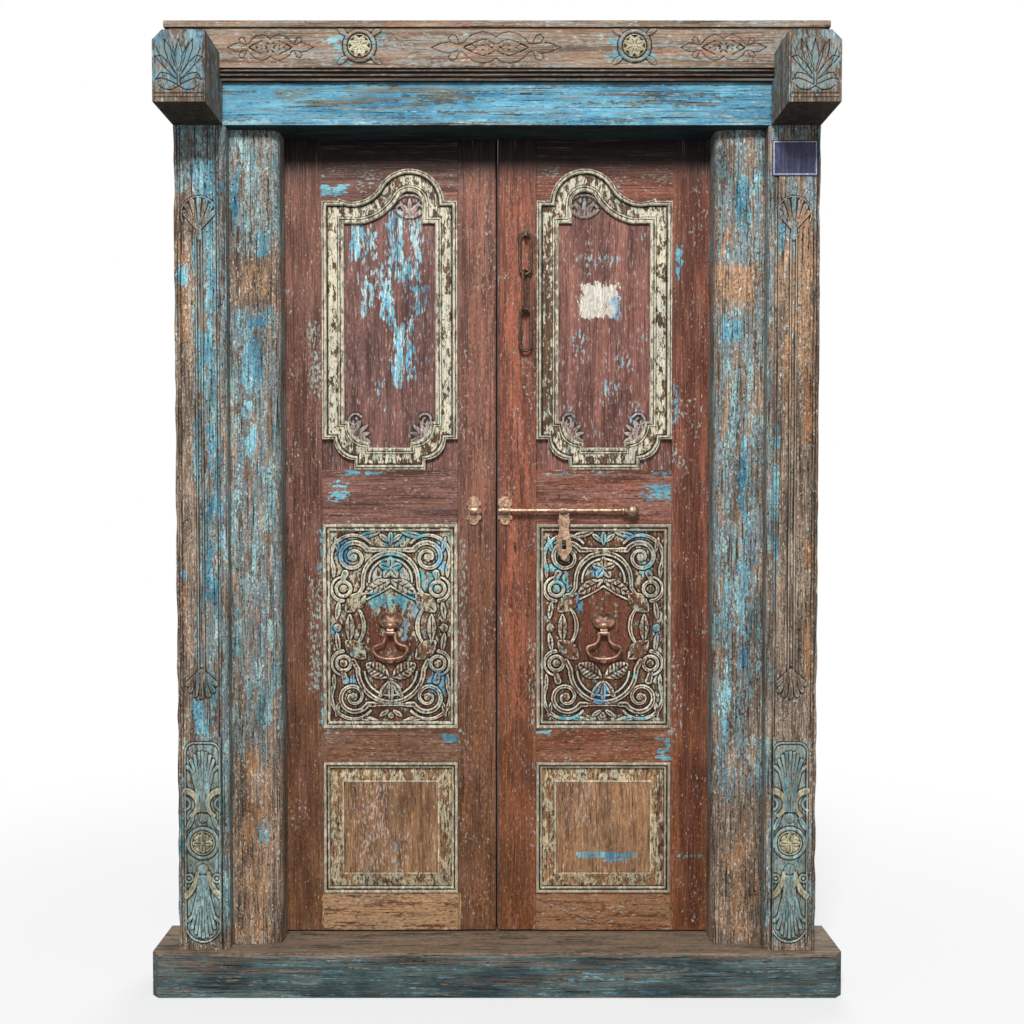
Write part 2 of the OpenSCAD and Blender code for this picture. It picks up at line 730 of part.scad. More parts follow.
// Carved panel: scrolls, arches and leaves in shares of the field's width, from the field's middle
volute_at_shares = [0.305, 0.57];
volute_r_share = 0.128;
volute_eye_share = 0.03;
volute_w_share = 0.036;
sweep_r_share = 0.172;
sweep_w_share = 0.03;
bridge_z_share = 0.63;
bridge_half_share = 0.15;
bridge_w_share = 0.03;
hoop_z_share = 0.375;
hoop_r_share = 0.235;
hoop_w_share = 0.032;
inner_hoop_r_share = 0.185;
inner_hoop_w_share = 0.014;
foot_z_share = 0.24;
eye_at_shares = [0.385, 0.305];
eye_r_share = 0.06;
eye_w_share = 0.026;
eye_boss_share = 0.024;
lobe_from_shares = [0.225, 0.265];
lobe_l_share = 0.2;
lobe_w_share = 0.12;
side_at_shares = [0.48, 0];
side_r_share = 0.24;
side_w_share = 0.045;
boss_at_shares = [0.435, 0];
boss_r_share = 0.028;
flower_z_share = 0.455;
flower_l_share = 0.09;
flower_w_share = 0.055;
wing_z_share = 0.36;
wing_l_share = 0.235;
wing_w_share = 0.1;
low_wing_z_share = -0.34;
low_flower_z_share = -0.43;
crest_z_share = 0.665;
crest_l_share = 0.085;
crest_w_share = 0.045;
corner_leaf_shares = [0.4, 0.7];
corner_l_share = 0.16;
corner_w_share = 0.06;
volute_from = 165;
volute_to = -400;
module carved_quarter(w) {
    volute = volute_at_shares * w;
    eye = eye_at_shares * w;
    band(spiral(volute, volute_r_share * w, volute_eye_share * w, volute_from, volute_to, 30),
         volute_w_share * w, volute_w_share * w / 2);
    band([[0, bridge_z_share * w], [bridge_half_share * w, bridge_z_share * w],
          volute + volute_r_share * w * [cos(volute_from), sin(volute_from)]], bridge_w_share * w, bridge_w_share * w);
    band(arc(volute, sweep_r_share * w, 130, -50, 10), sweep_w_share * w / 2, sweep_w_share * w);
    band(arc(eye, eye_r_share * w, 120, -150, 9), eye_w_share * w, eye_w_share * w / 2);
    translate(eye) circle(r = eye_boss_share * w, $fn = 16);
    leaf(lobe_from_shares * w, -50, lobe_l_share * w, lobe_w_share * w);
    leaf(corner_leaf_shares * w, 180, corner_l_share * w, corner_w_share * w);
    band(arc(side_at_shares * w, side_r_share * w, 180, 125, 5), side_w_share * w, side_w_share * w / 3);
    translate(boss_at_shares * w) circle(r = boss_r_share * w, $fn = 12);
    fan([0, crest_z_share * w], 90, 110, 3, crest_l_share * w, crest_w_share * w);
}
module carved_hoop(w) {
    for (part = [[hoop_r_share, hoop_w_share], [inner_hoop_r_share, inner_hoop_w_share]])
        band(concat([[part.x * w, foot_z_share * w]], arc([0, hoop_z_share * w], part.x * w, 0, 180, 16),
                    [[-part.x * w, foot_z_share * w]]), part.y * w, part.y * w);
}
module carved_motif(w) {
    for (mx = [0, 1], mz = [0, 1]) mirror([mx, 0]) mirror([0, mz]) carved_quarter(w);
    for (mz = [0, 1]) mirror([0, mz]) carved_hoop(w);
    for (a = [18:72:306]) leaf([0, flower_z_share * w], a, flower_l_share * w, flower_w_share * w, 4);
    for (side = [-1, 1]) {
        leaf([0, wing_z_share * w], side > 0 ? -28 : 208, wing_l_share * w, wing_w_share * w);
        leaf([0, low_wing_z_share * w], side > 0 ? 25 : 155, wing_l_share * w, wing_w_share * w);
    }
    fan([0, low_flower_z_share * w + flower_l_share * w], -90, 110, 3, 2 * flower_l_share * w, flower_w_share * w);
}
module carved_panel(side) {
    field_w = panel_w - 2 * carved_band;
    color("#8f8670") on_side(side) {
        panel_board(carved_z, carved_panel_h, true);
        carved(leaf_y + panel_in, relief) difference() {
            translate([panel_mid_x, carved_z + carved_panel_h / 2]) intersection() {
                offset(delta = fit) carved_motif(field_w);
                square([field_w - 2 * fit, carved_panel_h - 2 * (carved_band + fit)], center = true);
            }
            translate([panel_mid_x, boss_z]) circle(r = boss_r + boss_lobe_r, $fn = 24);
            translate([panel_mid_x, pin_z - ring_drop]) circle(r = stud_r + seat_gap, $fn = 24);
        }
    }
}

// Ironwork

// Knocker: a lobed boss with a lug, a stirrup ring on a pin through the lug, and a stud to strike
boss_r = 25;
boss_h = 21;
boss_lobe_r = 8;
lug_drop = 24;
lug_r = 5.5;
lug_w = 15;
pin_r = 2.6;
pin_gap = 0.1;
ring_t = 6;
ring_bar = 6;
ring_out = 17;
boss_up = 10;
stud_r = 10;
stud_gap = 0.6;
seat_gap = 2;
boss_z = carved_z + carved_panel_h / 2 + boss_up;
pin_z = boss_z - lug_drop;
panel_face_y = leaf_y + panel_in;
pin_y = panel_face_y - ring_out;
boss_profile_shares = [[0, 0], [1, 0], [1, 0.16], [0.86, 0.3], [0.78, 0.5], [0.6, 0.74], [0.34, 0.93], [0, 1]];
module knocker_boss(side) {
    color("#4a372e") on_side(side) difference() {
        union() {
            translate([panel_mid_x, panel_face_y, boss_z]) rotate([90, 0, 0]) {
                rotate_extrude() polygon([for (p = boss_profile_shares) [p.x * boss_r, p.y * boss_h]]);
                for (a = [0:45:315]) rotate(a) translate([boss_r, 0, 0]) cylinder(r = boss_lobe_r / 2, h = boss_h / 4);
            }
            block([panel_mid_x - lug_w / 2, pin_y, pin_z - lug_r], [panel_mid_x + lug_w / 2, panel_face_y, boss_z]);
            translate([panel_mid_x - lug_w / 2, pin_y, pin_z]) rotate([0, 90, 0]) cylinder(r = lug_r, h = lug_w);
        }
        translate([panel_mid_x - lug_w / 2 - cut, pin_y, pin_z]) rotate([0, 90, 0])
            cylinder(r = pin_r + pin_gap, h = lug_w + 2 * cut);
    }
}
// Half of the stirrup from the pin outwards, in shares of its half width and its drop
ring_line_shares = [[0.27, 0.06], [0.27, -0.12], [0.33, -0.3], [0.52, -0.42], [0.94, -0.5], [0.94, -0.66],
                    [0.76, -0.84], [0.42, -0.95], [0, -0.97]];
module knocker_ring(side) {
    line = [for (p = ring_line_shares) [panel_mid_x + p.x * ring_w / 2, pin_z + p.y * ring_drop]];
    color("#4f3a30") on_side(side) {
        raised(pin_y + ring_t / 2, ring_t) offset(delta = fit) for (flip = [0, 1])
            translate([flip * 2 * panel_mid_x, 0]) mirror([flip, 0]) band(line, ring_bar, ring_bar);
        translate([panel_mid_x - ring_line_shares[0].x * ring_w / 2, pin_y, pin_z]) rotate([0, 90, 0])
            cylinder(r = pin_r, h = ring_line_shares[0].x * ring_w);
    }
}
module strike_stud(side) {
    reach = ring_out - ring_t / 2 - fit - stud_gap;
    color("#4a372e") on_side(side)
        translate([panel_mid_x, panel_face_y, pin_z - ring_drop]) rotate([90, 0, 0]) rotate_extrude()
            polygon([[0, 0], [stud_r * 3 / 4, 0], [stud_r, reach / 3], [stud_r, reach * 2 / 3],
                     [stud_r * 3 / 4, reach], [0, reach]]);
}

// Sliding bolt, stored drawn: rod with a turned knob, guide on the right leaf, keeper on the left leaf
rod_r = rod_d / 2;
rod_out = 18;
rod_gap = 0.6;
rod_up = 30;
guide_x = 18;
keeper_x = 52;
sleeve_r = 10;
sleeve_l = 17;
backing_t = 5;
lobe_r = 11;
lobe_up = 21;
waist_r = 14;
rod_z = lock_z + rod_up;
rod_y = leaf_y - rod_out;
drawn_x = meet_x + edge_ease / 3;
knob_l = 40;
knob_r = 14;
knob_shares = [[0, 0.5], [0.05, 0.62], [0.12, 0.64], [0.2, 0.5], [0.3, 0.6], [0.45, 0.93],
               [0.6, 1], [0.75, 0.93], [0.9, 0.6], [0.96, 0.3], [1, 0]];
module bolt_rod() {
    color("#8a6a58") translate([drawn_x, rod_y, rod_z]) rotate([0, 90, 0]) {
        rotate_extrude() polygon(concat(
            [[0, 0], [rod_r - rod_gap, 0], [rod_r, rod_gap], [rod_r, rod_l - knob_l]],
            [for (p = knob_shares) [p.y * knob_r, rod_l - knob_l + p.x * knob_l]]));
    }
}
// Strap round the rod on a lobed backing plate; the cap is a wider lobe on the upper edge
module rod_strap(x, cap_share) {
    difference() {
        union() {
            raised(leaf_y, backing_t) offset(delta = fit) translate([x, rod_z]) {
                circle(r = waist_r, $fn = 24);
                for (way = [-1, 1]) {
                    translate([0, way * lobe_up]) circle(r = lobe_r, $fn = 20);
                    for (side = [-1, 1])
                        translate([side * lobe_r, way * lobe_up * 3 / 4]) circle(r = lobe_r / 2, $fn = 14);
                }
                translate([-waist_r * cap_share, lobe_up]) square([2 * waist_r * cap_share, lobe_r / 2]);
            }
            translate([x - sleeve_l / 2, rod_y, rod_z]) rotate([0, 90, 0]) cylinder(r = sleeve_r, h = sleeve_l);
            block([x - sleeve_l / 2, rod_y, rod_z - sleeve_r * 3 / 4],
                  [x + sleeve_l / 2, leaf_y, rod_z + sleeve_r * 3 / 4]);
        }
        translate([x - sleeve_l / 2 - cut, rod_y, rod_z]) rotate([0, 90, 0])
            cylinder(r = rod_r + rod_gap, h = sleeve_l + 2 * cut);
    }
}
keeper_cap_share = 0.5;
guide_cap_share = 1.1;
module bolt_keeper() {
    color("#8a6a58") rod_strap(-keeper_x, keeper_cap_share);
}
module bolt_guide() {
    color("#8a6a58") rod_strap(guide_x, guide_cap_share);
}

// Hasp that hangs on the rod and drops over its staple when the bolt is thrown
hasp_x = 40;
hasp_l = 112;
hasp_t = 3;
collar_r = 9;
collar_l = 15;
collar_gap = 0.08;
slot_w = 10;
slot_h = 21;
slot_drop = 76;
staple_wire = 4.5;
staple_h = 15;
staple_gap = 0.6;
hasp_half_w = 18;
hasp_half_shares = [[0.62, 0], [0.62, -0.13], [0.78, -0.2], [0.62, -0.29], [0.62, -0.4], [0.84, -0.55],
                    [1, -0.68], [0.98, -0.78], [0.72, -0.85], [0.42, -0.92], [0, -1]];
module bolt_hasp() {
    x = hasp_x + bolt_travel;
    color("#6d4a3c") difference() {
        union() {
            raised(rod_y + hasp_t / 2, hasp_t) polygon(concat(
                [for (p = hasp_half_shares) [x + p.x * hasp_half_w, rod_z + p.y * hasp_l]],
                [for (i = [len(hasp_half_shares) - 2:-1:0])
                    [x - hasp_half_shares[i].x * hasp_half_w, rod_z + hasp_half_shares[i].y * hasp_l]]));
            translate([x - collar_l / 2, rod_y, rod_z]) rotate([0, 90, 0]) cylinder(r = collar_r, h = collar_l);
        }
        translate([x - hasp_half_w - cut, rod_y, rod_z]) rotate([0, 90, 0])
            cylinder(r = rod_r + collar_gap, h = 2 * (hasp_half_w + cut));
        raised(rod_y + hasp_t, 2 * hasp_t)
            translate([x - slot_w / 2, rod_z - slot_drop - slot_h / 2]) square([slot_w, slot_h]);
    }
}
// Upright staple: two legs on the face of the meeting stile and a crown in front
module staple(x, z, height, wire, reach) {
    translate([x - wire / 2, leaf_y - reach, z - height / 2]) difference() {
        cube([wire, reach, height]);
        translate([-cut, wire, wire]) cube([wire + 2 * cut, reach, height - 2 * wire]);
    }
}
hasp_reach = rod_out - hasp_t / 2 - staple_gap;
module hasp_staple() {
    color("#5a4034") staple(hasp_x, rod_z - slot_drop, staple_h, staple_wire, hasp_reach);
}

// Chain of long links that hang from a staple on the right leaf
chain_x = 63;
chain_drop = 72;
link_turn = 60;
chain_gap = 1;
chain_clear = 0.6;
wire_r = wire_d / 2;
link_r = (link_w - wire_d) / 2;
chain_y = leaf_y - chain_clear - wire_r - link_r * sin(link_turn);
chain_z = shoulder_z - chain_drop;
link_pitch = link_l - 2 * wire_d - chain_gap;
staple_reach = leaf_y - chain_y + wire_r + chain_gap + wire_d;
module link(i, turn) {
    straight = link_l - link_w;
    translate([chain_x, chain_y, chain_z - i * link_pitch]) rotate([0, 0, turn])
        translate([0, 0, wire_r - link_l / 2]) rotate([90, 0, 0]) {
            for (way = [0, 180]) rotate(way) {
                translate([0, straight / 2, 0]) rotate_extrude(angle = 180)
                    translate([link_r, 0]) circle(r = wire_r, $fn = 24);
                translate([link_r, -straight / 2, 0]) rotate([-90, 0, 0])
                    cylinder(r = wire_r, h = straight, $fn = 24);
            }
        }
}
module chain_staple() {
    height = 3 * wire_d + 2 * chain_gap;
    color("#3a2a24") staple(chain_x, chain_z - wire_r - chain_gap - wire_d + height / 2, height, wire_d,
                            staple_reach);
}
module chain_link_1() { color("#3a2a24") link(0, 0); }
module chain_link_2() { color("#3a2a24") link(1, link_turn); }
module chain_link_3() { color("#3a2a24") link(2, 0); }

threshold();
jamb(-1);  // left_jamb
jamb(1);  // right_jamb
pilaster(-1);  // left_pilaster
pilaster(1);  // right_pilaster
lintel();
cornice();
bracket(-1);  // left_bracket
bracket(1);  // right_bracket
number_plate();
pivot_cup(-1);  // left_pivot_cup
pivot_cup(1);  // right_pivot_cup
pivot_bush(-1);  // left_pivot_bush
pivot_bush(1);  // right_pivot_bush
hinge_stile(-1);  // left_hinge_stile
meeting_stile(-1);  // left_meeting_stile
top_rail(-1);  // left_top_rail
lock_rail(-1);  // left_lock_rail
frieze_rail(-1);  // left_frieze_rail
bottom_rail(-1);  // left_bottom_rail
upper_panel(-1);  // left_upper_panel
carved_panel(-1);  // left_carved_panel
lower_panel(-1);  // left_lower_panel
upper_moulding(-1);  // left_upper_moulding
carved_moulding(-1);  // left_carved_moulding
lower_moulding(-1);  // left_lower_moulding
hinge_stile(1);  // right_hinge_stile
meeting_stile(1);  // right_meeting_stile
top_rail(1);  // right_top_rail
lock_rail(1);  // right_lock_rail
frieze_rail(1);  // right_frieze_rail
bottom_rail(1);  // right_bottom_rail
upper_panel(1);  // right_upper_panel
carved_panel(1);  // right_carved_panel
lower_panel(1);  // right_lower_panel
upper_moulding(1);  // right_upper_moulding
carved_moulding(1);  // right_carved_moulding
lower_moulding(1);  // right_lower_moulding
knocker_boss(-1);  // left_knocker_boss
knocker_ring(-1);  // left_knocker_ring
strike_stud(-1);  // left_strike_stud
knocker_boss(1);  // right_knocker_boss
knocker_ring(1);  // right_knocker_ring
strike_stud(1);  // right_strike_stud
bolt_keeper();
bolt_guide();
bolt_rod();
bolt_hasp();
hasp_staple();
chain_staple();
chain_link_1();
chain_link_2();
chain_link_3();
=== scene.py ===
"""Carved double door with its frame: worn painted timber, cream mouldings, deep carving, old ironwork."""
import math

import bpy
import numpy as np
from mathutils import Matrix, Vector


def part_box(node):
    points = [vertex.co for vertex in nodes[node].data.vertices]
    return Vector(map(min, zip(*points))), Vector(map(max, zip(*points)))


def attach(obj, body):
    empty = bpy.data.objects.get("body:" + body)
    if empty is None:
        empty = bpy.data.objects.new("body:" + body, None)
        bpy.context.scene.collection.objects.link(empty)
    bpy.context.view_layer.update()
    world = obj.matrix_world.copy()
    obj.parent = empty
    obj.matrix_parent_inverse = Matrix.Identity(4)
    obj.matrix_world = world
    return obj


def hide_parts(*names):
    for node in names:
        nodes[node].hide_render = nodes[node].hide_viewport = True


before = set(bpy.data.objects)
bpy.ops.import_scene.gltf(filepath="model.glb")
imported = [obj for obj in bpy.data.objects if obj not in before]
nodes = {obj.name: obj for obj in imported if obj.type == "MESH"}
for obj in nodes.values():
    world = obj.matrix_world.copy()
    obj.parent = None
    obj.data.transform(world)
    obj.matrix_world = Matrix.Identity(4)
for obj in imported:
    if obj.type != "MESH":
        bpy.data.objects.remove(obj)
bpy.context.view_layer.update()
scene = bpy.context.scene
MM = 0.001

# Camera: straight at the door from two and a half metres, aimed a little down.
# The shifts put the optical axis where the photo has it, below and left of the middle.
camera_data = bpy.data.cameras.new("camera")
camera_data.sensor_width = 36.0
camera_data.lens = 40.88
camera_data.shift_x = 0.01465
camera_data.shift_y = 0.0134
camera = bpy.data.objects.new("camera", camera_data)
camera.location = (0.0, -2.496, 1.0826)
camera.rotation_euler = (math.radians(90 - 1.51), 0.0, 0.0)
scene.collection.objects.link(camera)
scene.camera = camera
scene.view_settings.view_transform = "Standard"


def linear(code):
    """Linear colour of an sRGB hex code."""
    parts = [int(code[i:i + 2], 16) / 255 for i in (1, 3, 5)]
    return tuple(p / 12.92 if p <= 0.04045 else ((p + 0.055) / 1.055) ** 2.4 for p in parts) + (1.0,)


def add(tree, kind, *links, pick=0, **settings):
    """Adds a node: links fill its sockets in order, settings go to its fields or to sockets by name."""
    made = tree.nodes.new(("GeometryNode" if tree.type == "GEOMETRY" else "ShaderNode") + kind)
    pairs = list(zip(made.inputs, links))
    for name, value in settings.items():
        if hasattr(made, name):
            setattr(made, name, value)
        else:
            pairs.append((made.inputs[name.replace("_", " ")], value))
    for socket, value in pairs:
        if isinstance(value, bpy.types.NodeSocket):
            tree.links.new(value, socket)
        else:
            socket.default_value = linear(value) if isinstance(value, str) else value
    return made.outputs if pick is None else made.outputs[pick]


class Finish:
    """Material of an old surface: grain along one axis, and coats of paint worn through in flakes."""

    def __init__(self, name, run, seed):
        self.material = bpy.data.materials.new(name)
        self.material.use_nodes = True
        self.tree = self.material.node_tree
        self.tree.nodes.clear()
        self.run = run
        self.seed = seed
        coords = self.add("TexCoord", pick=None)
        self.place = coords["Object"]
        self.x, self.y, self.z = self.add("SeparateXYZ", self.place, pick=None)
        facing = self.add("SeparateXYZ", coords["Normal"], pick=None)
        self.front = self.add("MapRange", facing[1], 0.6, 0.3)
        self.under = self.add("MapRange", facing[2], -0.3, -0.8)
        self.flake = self.blots(4.5, 13, 7.7, 4.0, 0.7)
        self.tint = self.blots(40, 160, 9.1, 2.0)

    def add(self, *parts, **settings):
        """Adds a node to this material."""
        return add(self.tree, *parts, **settings)

    def blots(self, across, along, shift, detail=3.0, rough=0.6):
        """Noise with features of these sizes in millimetres, long in the direction of the grain."""
        sizes = (along, across, across) if self.run == "x" else (across, across, along)
        offset = self.seed + shift
        spot = self.add("VectorMath", self.place, tuple(1 / (MM * s) for s in sizes),
                        (offset, offset * 1.7, offset * 0.6), operation="MULTIPLY_ADD")
        return self.add("TexNoise", spot, Scale=1.0, Detail=detail, Roughness=rough)

    def wood(self, dark, light, pore=(2.2, 110)):
        """Bare timber under all: broad bands and pores, which are drawn coarser than real ones to show."""
        bands = self.add("Math", self.blots(15, 420, 1.0), 0.5, operation="MULTIPLY")
        self.pores = self.blots(pore[0], pore[1], 3.0, 4.0, 0.7)
        value = self.add("Math", self.pores, 0.5, bands, operation="MULTIPLY_ADD")
        share = self.add("MapRange", value, 0.36, 0.64, interpolation_type="SMOOTHSTEP")
        self.colour = self.add("MixRGB", share, dark, light)

    def over(self, share, colour):
        """Lays a colour over all that is there, by a share."""
        self.colour = self.add("MixRGB", share, self.colour, colour)

    def outside(self, x0, x1, z0, z1):
        """How far outside a box in X and Z a place is, in metres; less than nought inside it."""
        gaps = []
        for axis, low, high in ((self.x, x0, x1), (self.z, z0, z1)):
            off = self.add("Math", axis, (low + high) / 2 * MM, operation="SUBTRACT")
            off = self.add("Math", off, operation="ABSOLUTE")
            gaps.append(self.add("Math", off, (high - low) / 2 * MM, operation="SUBTRACT"))
        return self.add("Math", *gaps, operation="MAXIMUM")

    def zone(self, boxes):
        """One on the front inside any box (x0, x1, z0, z1, fade) in millimetres, nought past its fade."""
        found = None
        for x0, x1, z0, z1, fade in boxes:
            out = self.outside(x0, x1, z0, z1)
            inside = self.add("MapRange", out, fade * MM / 2, -fade * MM / 2,
                              interpolation_type="SMOOTHSTEP")
            found = inside if found is None else self.add("Math", found, inside, operation="MAXIMUM")
        return self.add("Math", found, self.front, operation="MULTIPLY")

    def coat(self, tones, size, level, soft=0.05, boxes=None, pull=0.4, extra=None, blend=1.0,
             front=False):
        """Paint in two tones where its own blots and the flakes together pass the level."""
        self.seed += 11.3
        value = self.add("Math", self.blots(size[0], size[1], 0.0), 0.62, operation="MULTIPLY")
        value = self.add("Math", self.flake, 0.38, value, operation="MULTIPLY_ADD")
        if boxes:
            value = self.add("Math", self.zone(boxes), pull, value, operation="MULTIPLY_ADD")
            level += pull
        if extra is not None:
            value = self.add("Math", value, extra, operation="ADD")
        mask = self.add("MapRange", value, level, level + soft, 0.0, blend,
                        interpolation_type="SMOOTHSTEP")
        if front:
            mask = self.add("Math", mask, self.front, operation="MULTIPLY")
        share = self.add("MapRange", self.tint, 0.38, 0.62)
        paint = self.add("MixRGB", share, tones[0], tones[1])
        self.over(mask, paint)
        return mask

    def cavities(self, dark, worn=None, amount=0.9, edge=0.6):
        """Dirt and painted shade in the hollows of carving and, where asked, a paler colour on its proud
        edges, which is partly wear and partly a painted highlight.
        """
        hollow = self.add("Attribute", attribute_name="cavity", pick=2)
        if worn:
            proud = self.add("MapRange", hollow, 0.3, 1.0, 0.0, edge)
            self.over(proud, worn)
        deep = self.add("MapRange", hollow, -0.1, -0.6, 0.0, amount, interpolation_type="SMOOTHSTEP")
        self.over(deep, dark)

    def shade_under(self, dark, amount=0.9):
        """Painted shade on what faces down."""
        share = self.add("Math", self.under, amount, operation="MULTIPLY")
        self.over(share, dark)

    def done(self, rough=0.72, paint=None, depth=0.5, weather=0.45, mottle=0.3):
        """Weathers the colour along the pores and closes the material, with bump from pores and paint."""
        broad = self.add("MapRange", self.tint, 0.36, 0.64, 1 - mottle * 0.7, 1 + mottle * 0.7)
        fine = self.add("MapRange", self.flake, 0.34, 0.66, 1 - mottle, 1 + mottle)
        gain = self.add("Math", broad, fine, operation="MULTIPLY")
        self.colour = self.add("VectorMath", self.colour, operation="SCALE", Scale=gain)
        dark = self.add("MapRange", self.pores, 0.45, 0.3, 0.0, weather)
        self.over(dark, "#1d1613")
        dust = self.add("MapRange", self.pores, 0.55, 0.72, 0.0, weather * 0.6)
        self.over(dust, "#c4b8a8")
        height = self.pores
        if paint is not None:
            height = self.add("Math", self.pores, 0.9, paint, operation="MULTIPLY_ADD")
        bump = self.add("Bump", Strength=1.0, Distance=depth * MM, Height=height)
        sheen = self.add("MapRange", self.flake, 0.35, 0.65, rough - 0.1, rough + 0.1)
        shader = self.add("BsdfPrincipled", Base_Color=self.colour, Roughness=sheen, Normal=bump,
                          Specular_IOR_Level=0.25)
        self.sockets = shader.node.inputs
        self.add("OutputMaterial", shader, pick=None)
        return self.material


def dress(name, material, ease=1.5):
    """A CAD node in its own finish, its edges eased a little."""
    piece = nodes[name]
    for place in piece.material_slots:
        place.link = "OBJECT"
        place.material = material
    if ease:
        weld = piece.modifiers.new("weld", "WELD")
        weld.merge_threshold = 0.02 * MM
        bevel = piece.modifiers.new("ease", "BEVEL")
        bevel.width = ease * MM
        bevel.segments = 2
        bevel.limit_method = "ANGLE"
        bevel.angle_limit = math.radians(40)


# Threshold: one long hardwood beam that carries the posts and the lower pivots.
# Its front keeps a dark grey-teal paint, and feet have worn the top to brown timber.
sill = Finish("worn_threshold", "x", 71.0)
sill.wood("#4a4038", "#8a7c70")
tread = sill.add("MapRange", sill.z, 0.086, 0.093, 0.0, -0.22)
wash = sill.coat(("#41565a", "#5b6d6c"), (13, 330), 0.41, 0.08, extra=tread)
sill.coat(("#4a7885", "#6f99a0"), (9, 110), 0.555, 0.05, extra=tread)
sill.coat(("#a0917e", "#857663"), (5, 70), 0.585, 0.05)
sill.coat(("#98826a", "#7f6e5c"), (14, 90), 0.44, 0.06, [(-745, 745, 90, 99, 6)], 0.2)
sill.coat(("#121514", "#242624"), (2.6, 150), 0.545, 0.05)
dress("threshold", sill.done(0.75, wash, 0.6, 0.5, 0.4), 3.0)


# Inner jambs: square posts with a round inner arris, tenoned between threshold and lintel.
# Blue and grey-blue paint hangs on in long flakes, and the feet and some patches are bare.
POST_WEAR = {"weather": 0.6, "mottle": 0.55}


def post_paint(name, seed, blue, bare, orange, level, knot=()):
    """Paint of one post; the boxes say where bright blue, bare wood, orange wood and knots are."""
    post = Finish(name, "z", seed)
    post.wood("#5b493c", "#b69d86", (2.6, 60))
    post.coat(("#9a6540", "#b08258"), (26, 110), 0.46, 0.1, orange)
    low = post.add("Math", post.zone(bare), -0.2, operation="MULTIPLY")
    wash = post.coat(("#a2adab", "#6a7d84"), (15, 110), level, 0.05, extra=low)
    post.coat(("#6f9fa9", "#93b3b2"), (24, 120), level + 0.055, 0.03, extra=low)
    post.coat(("#5aa2bd", "#80b9c4"), (28, 90), 0.445, 0.03, blue, 0.2)
    if knot:
        post.coat(("#c79a70", "#ad8463"), (14, 60), 0.42, 0.08, knot, 0.2, blend=0.88)
    post.coat(("#d6cfc2", "#b2bebb"), (3.6, 7), 0.555, 0.04, blend=0.85)
    post.coat(("#241e1a", "#40362f"), (3.6, 6), 0.548, 0.04, blend=0.88)
    post.coat(("#1a1512", "#352b24"), (2.6, 120), 0.543, 0.05)
    return post, wash


left_jamb, wash = post_paint(
    "left_jamb_paint", 3.0,
    [(-560, -500, 1320, 1474, 40), (-556, -510, 1130, 1290, 60), (-577, -552, 1650, 1800, 24),
     (-520, -496, 1600, 1660, 20), (-540, -500, 300, 420, 40)],
    [(-600, -460, 60, 480, 190), (-580, -480, 1505, 1590, 60)], [(-572, -480, 100, 540, 60)], 0.465,
    [(-562, -484, 1500, 1586, 30), (-576, -490, 96, 400, 110)])
dress("left_jamb", left_jamb.done(paint=wash, **POST_WEAR))
right_jamb, wash = post_paint(
    "right_jamb_paint", 17.0,
    [(514, 560, 1602, 1786, 40), (490, 540, 1410, 1476, 30), (524, 552, 700, 1215, 26),
     (492, 512, 560, 900, 30)],
    [(460, 600, 60, 380, 160), (470, 560, 1500, 1580, 40)],
    [(472, 558, 1500, 1580, 30), (476, 530, 1590, 1800, 30), (500, 572, 100, 420, 60),
     (540, 576, 1200, 1420, 30)], 0.472,
    [(478, 556, 1506, 1580, 24), (490, 576, 96, 330, 110)])
dress("right_jamb", right_jamb.done(paint=wash, **POST_WEAR))


# Pilasters: wide posts in front of the jambs with a bead by the inner edge and fine reeds by the outer one.
# A fan tops a long stem, and an arched panel with palms, scrolls and a rosette is cut at the foot.
def arc(c, r, a0, a1, n):
    """Points on an arc round c, from angle a0 to a1 in n steps."""
    return spiral(c, r, r, a0, a1, n)


def spiral(c, r0, r1, a0, a1, n):
    """Points on an arc whose radius runs from r0 to r1."""
    turns = np.radians(np.linspace(a0, a1, n + 1))
    r = np.linspace(r0, r1, n + 1)
    return np.stack([c[0] + r * np.cos(turns), c[1] + r * np.sin(turns)], -1)


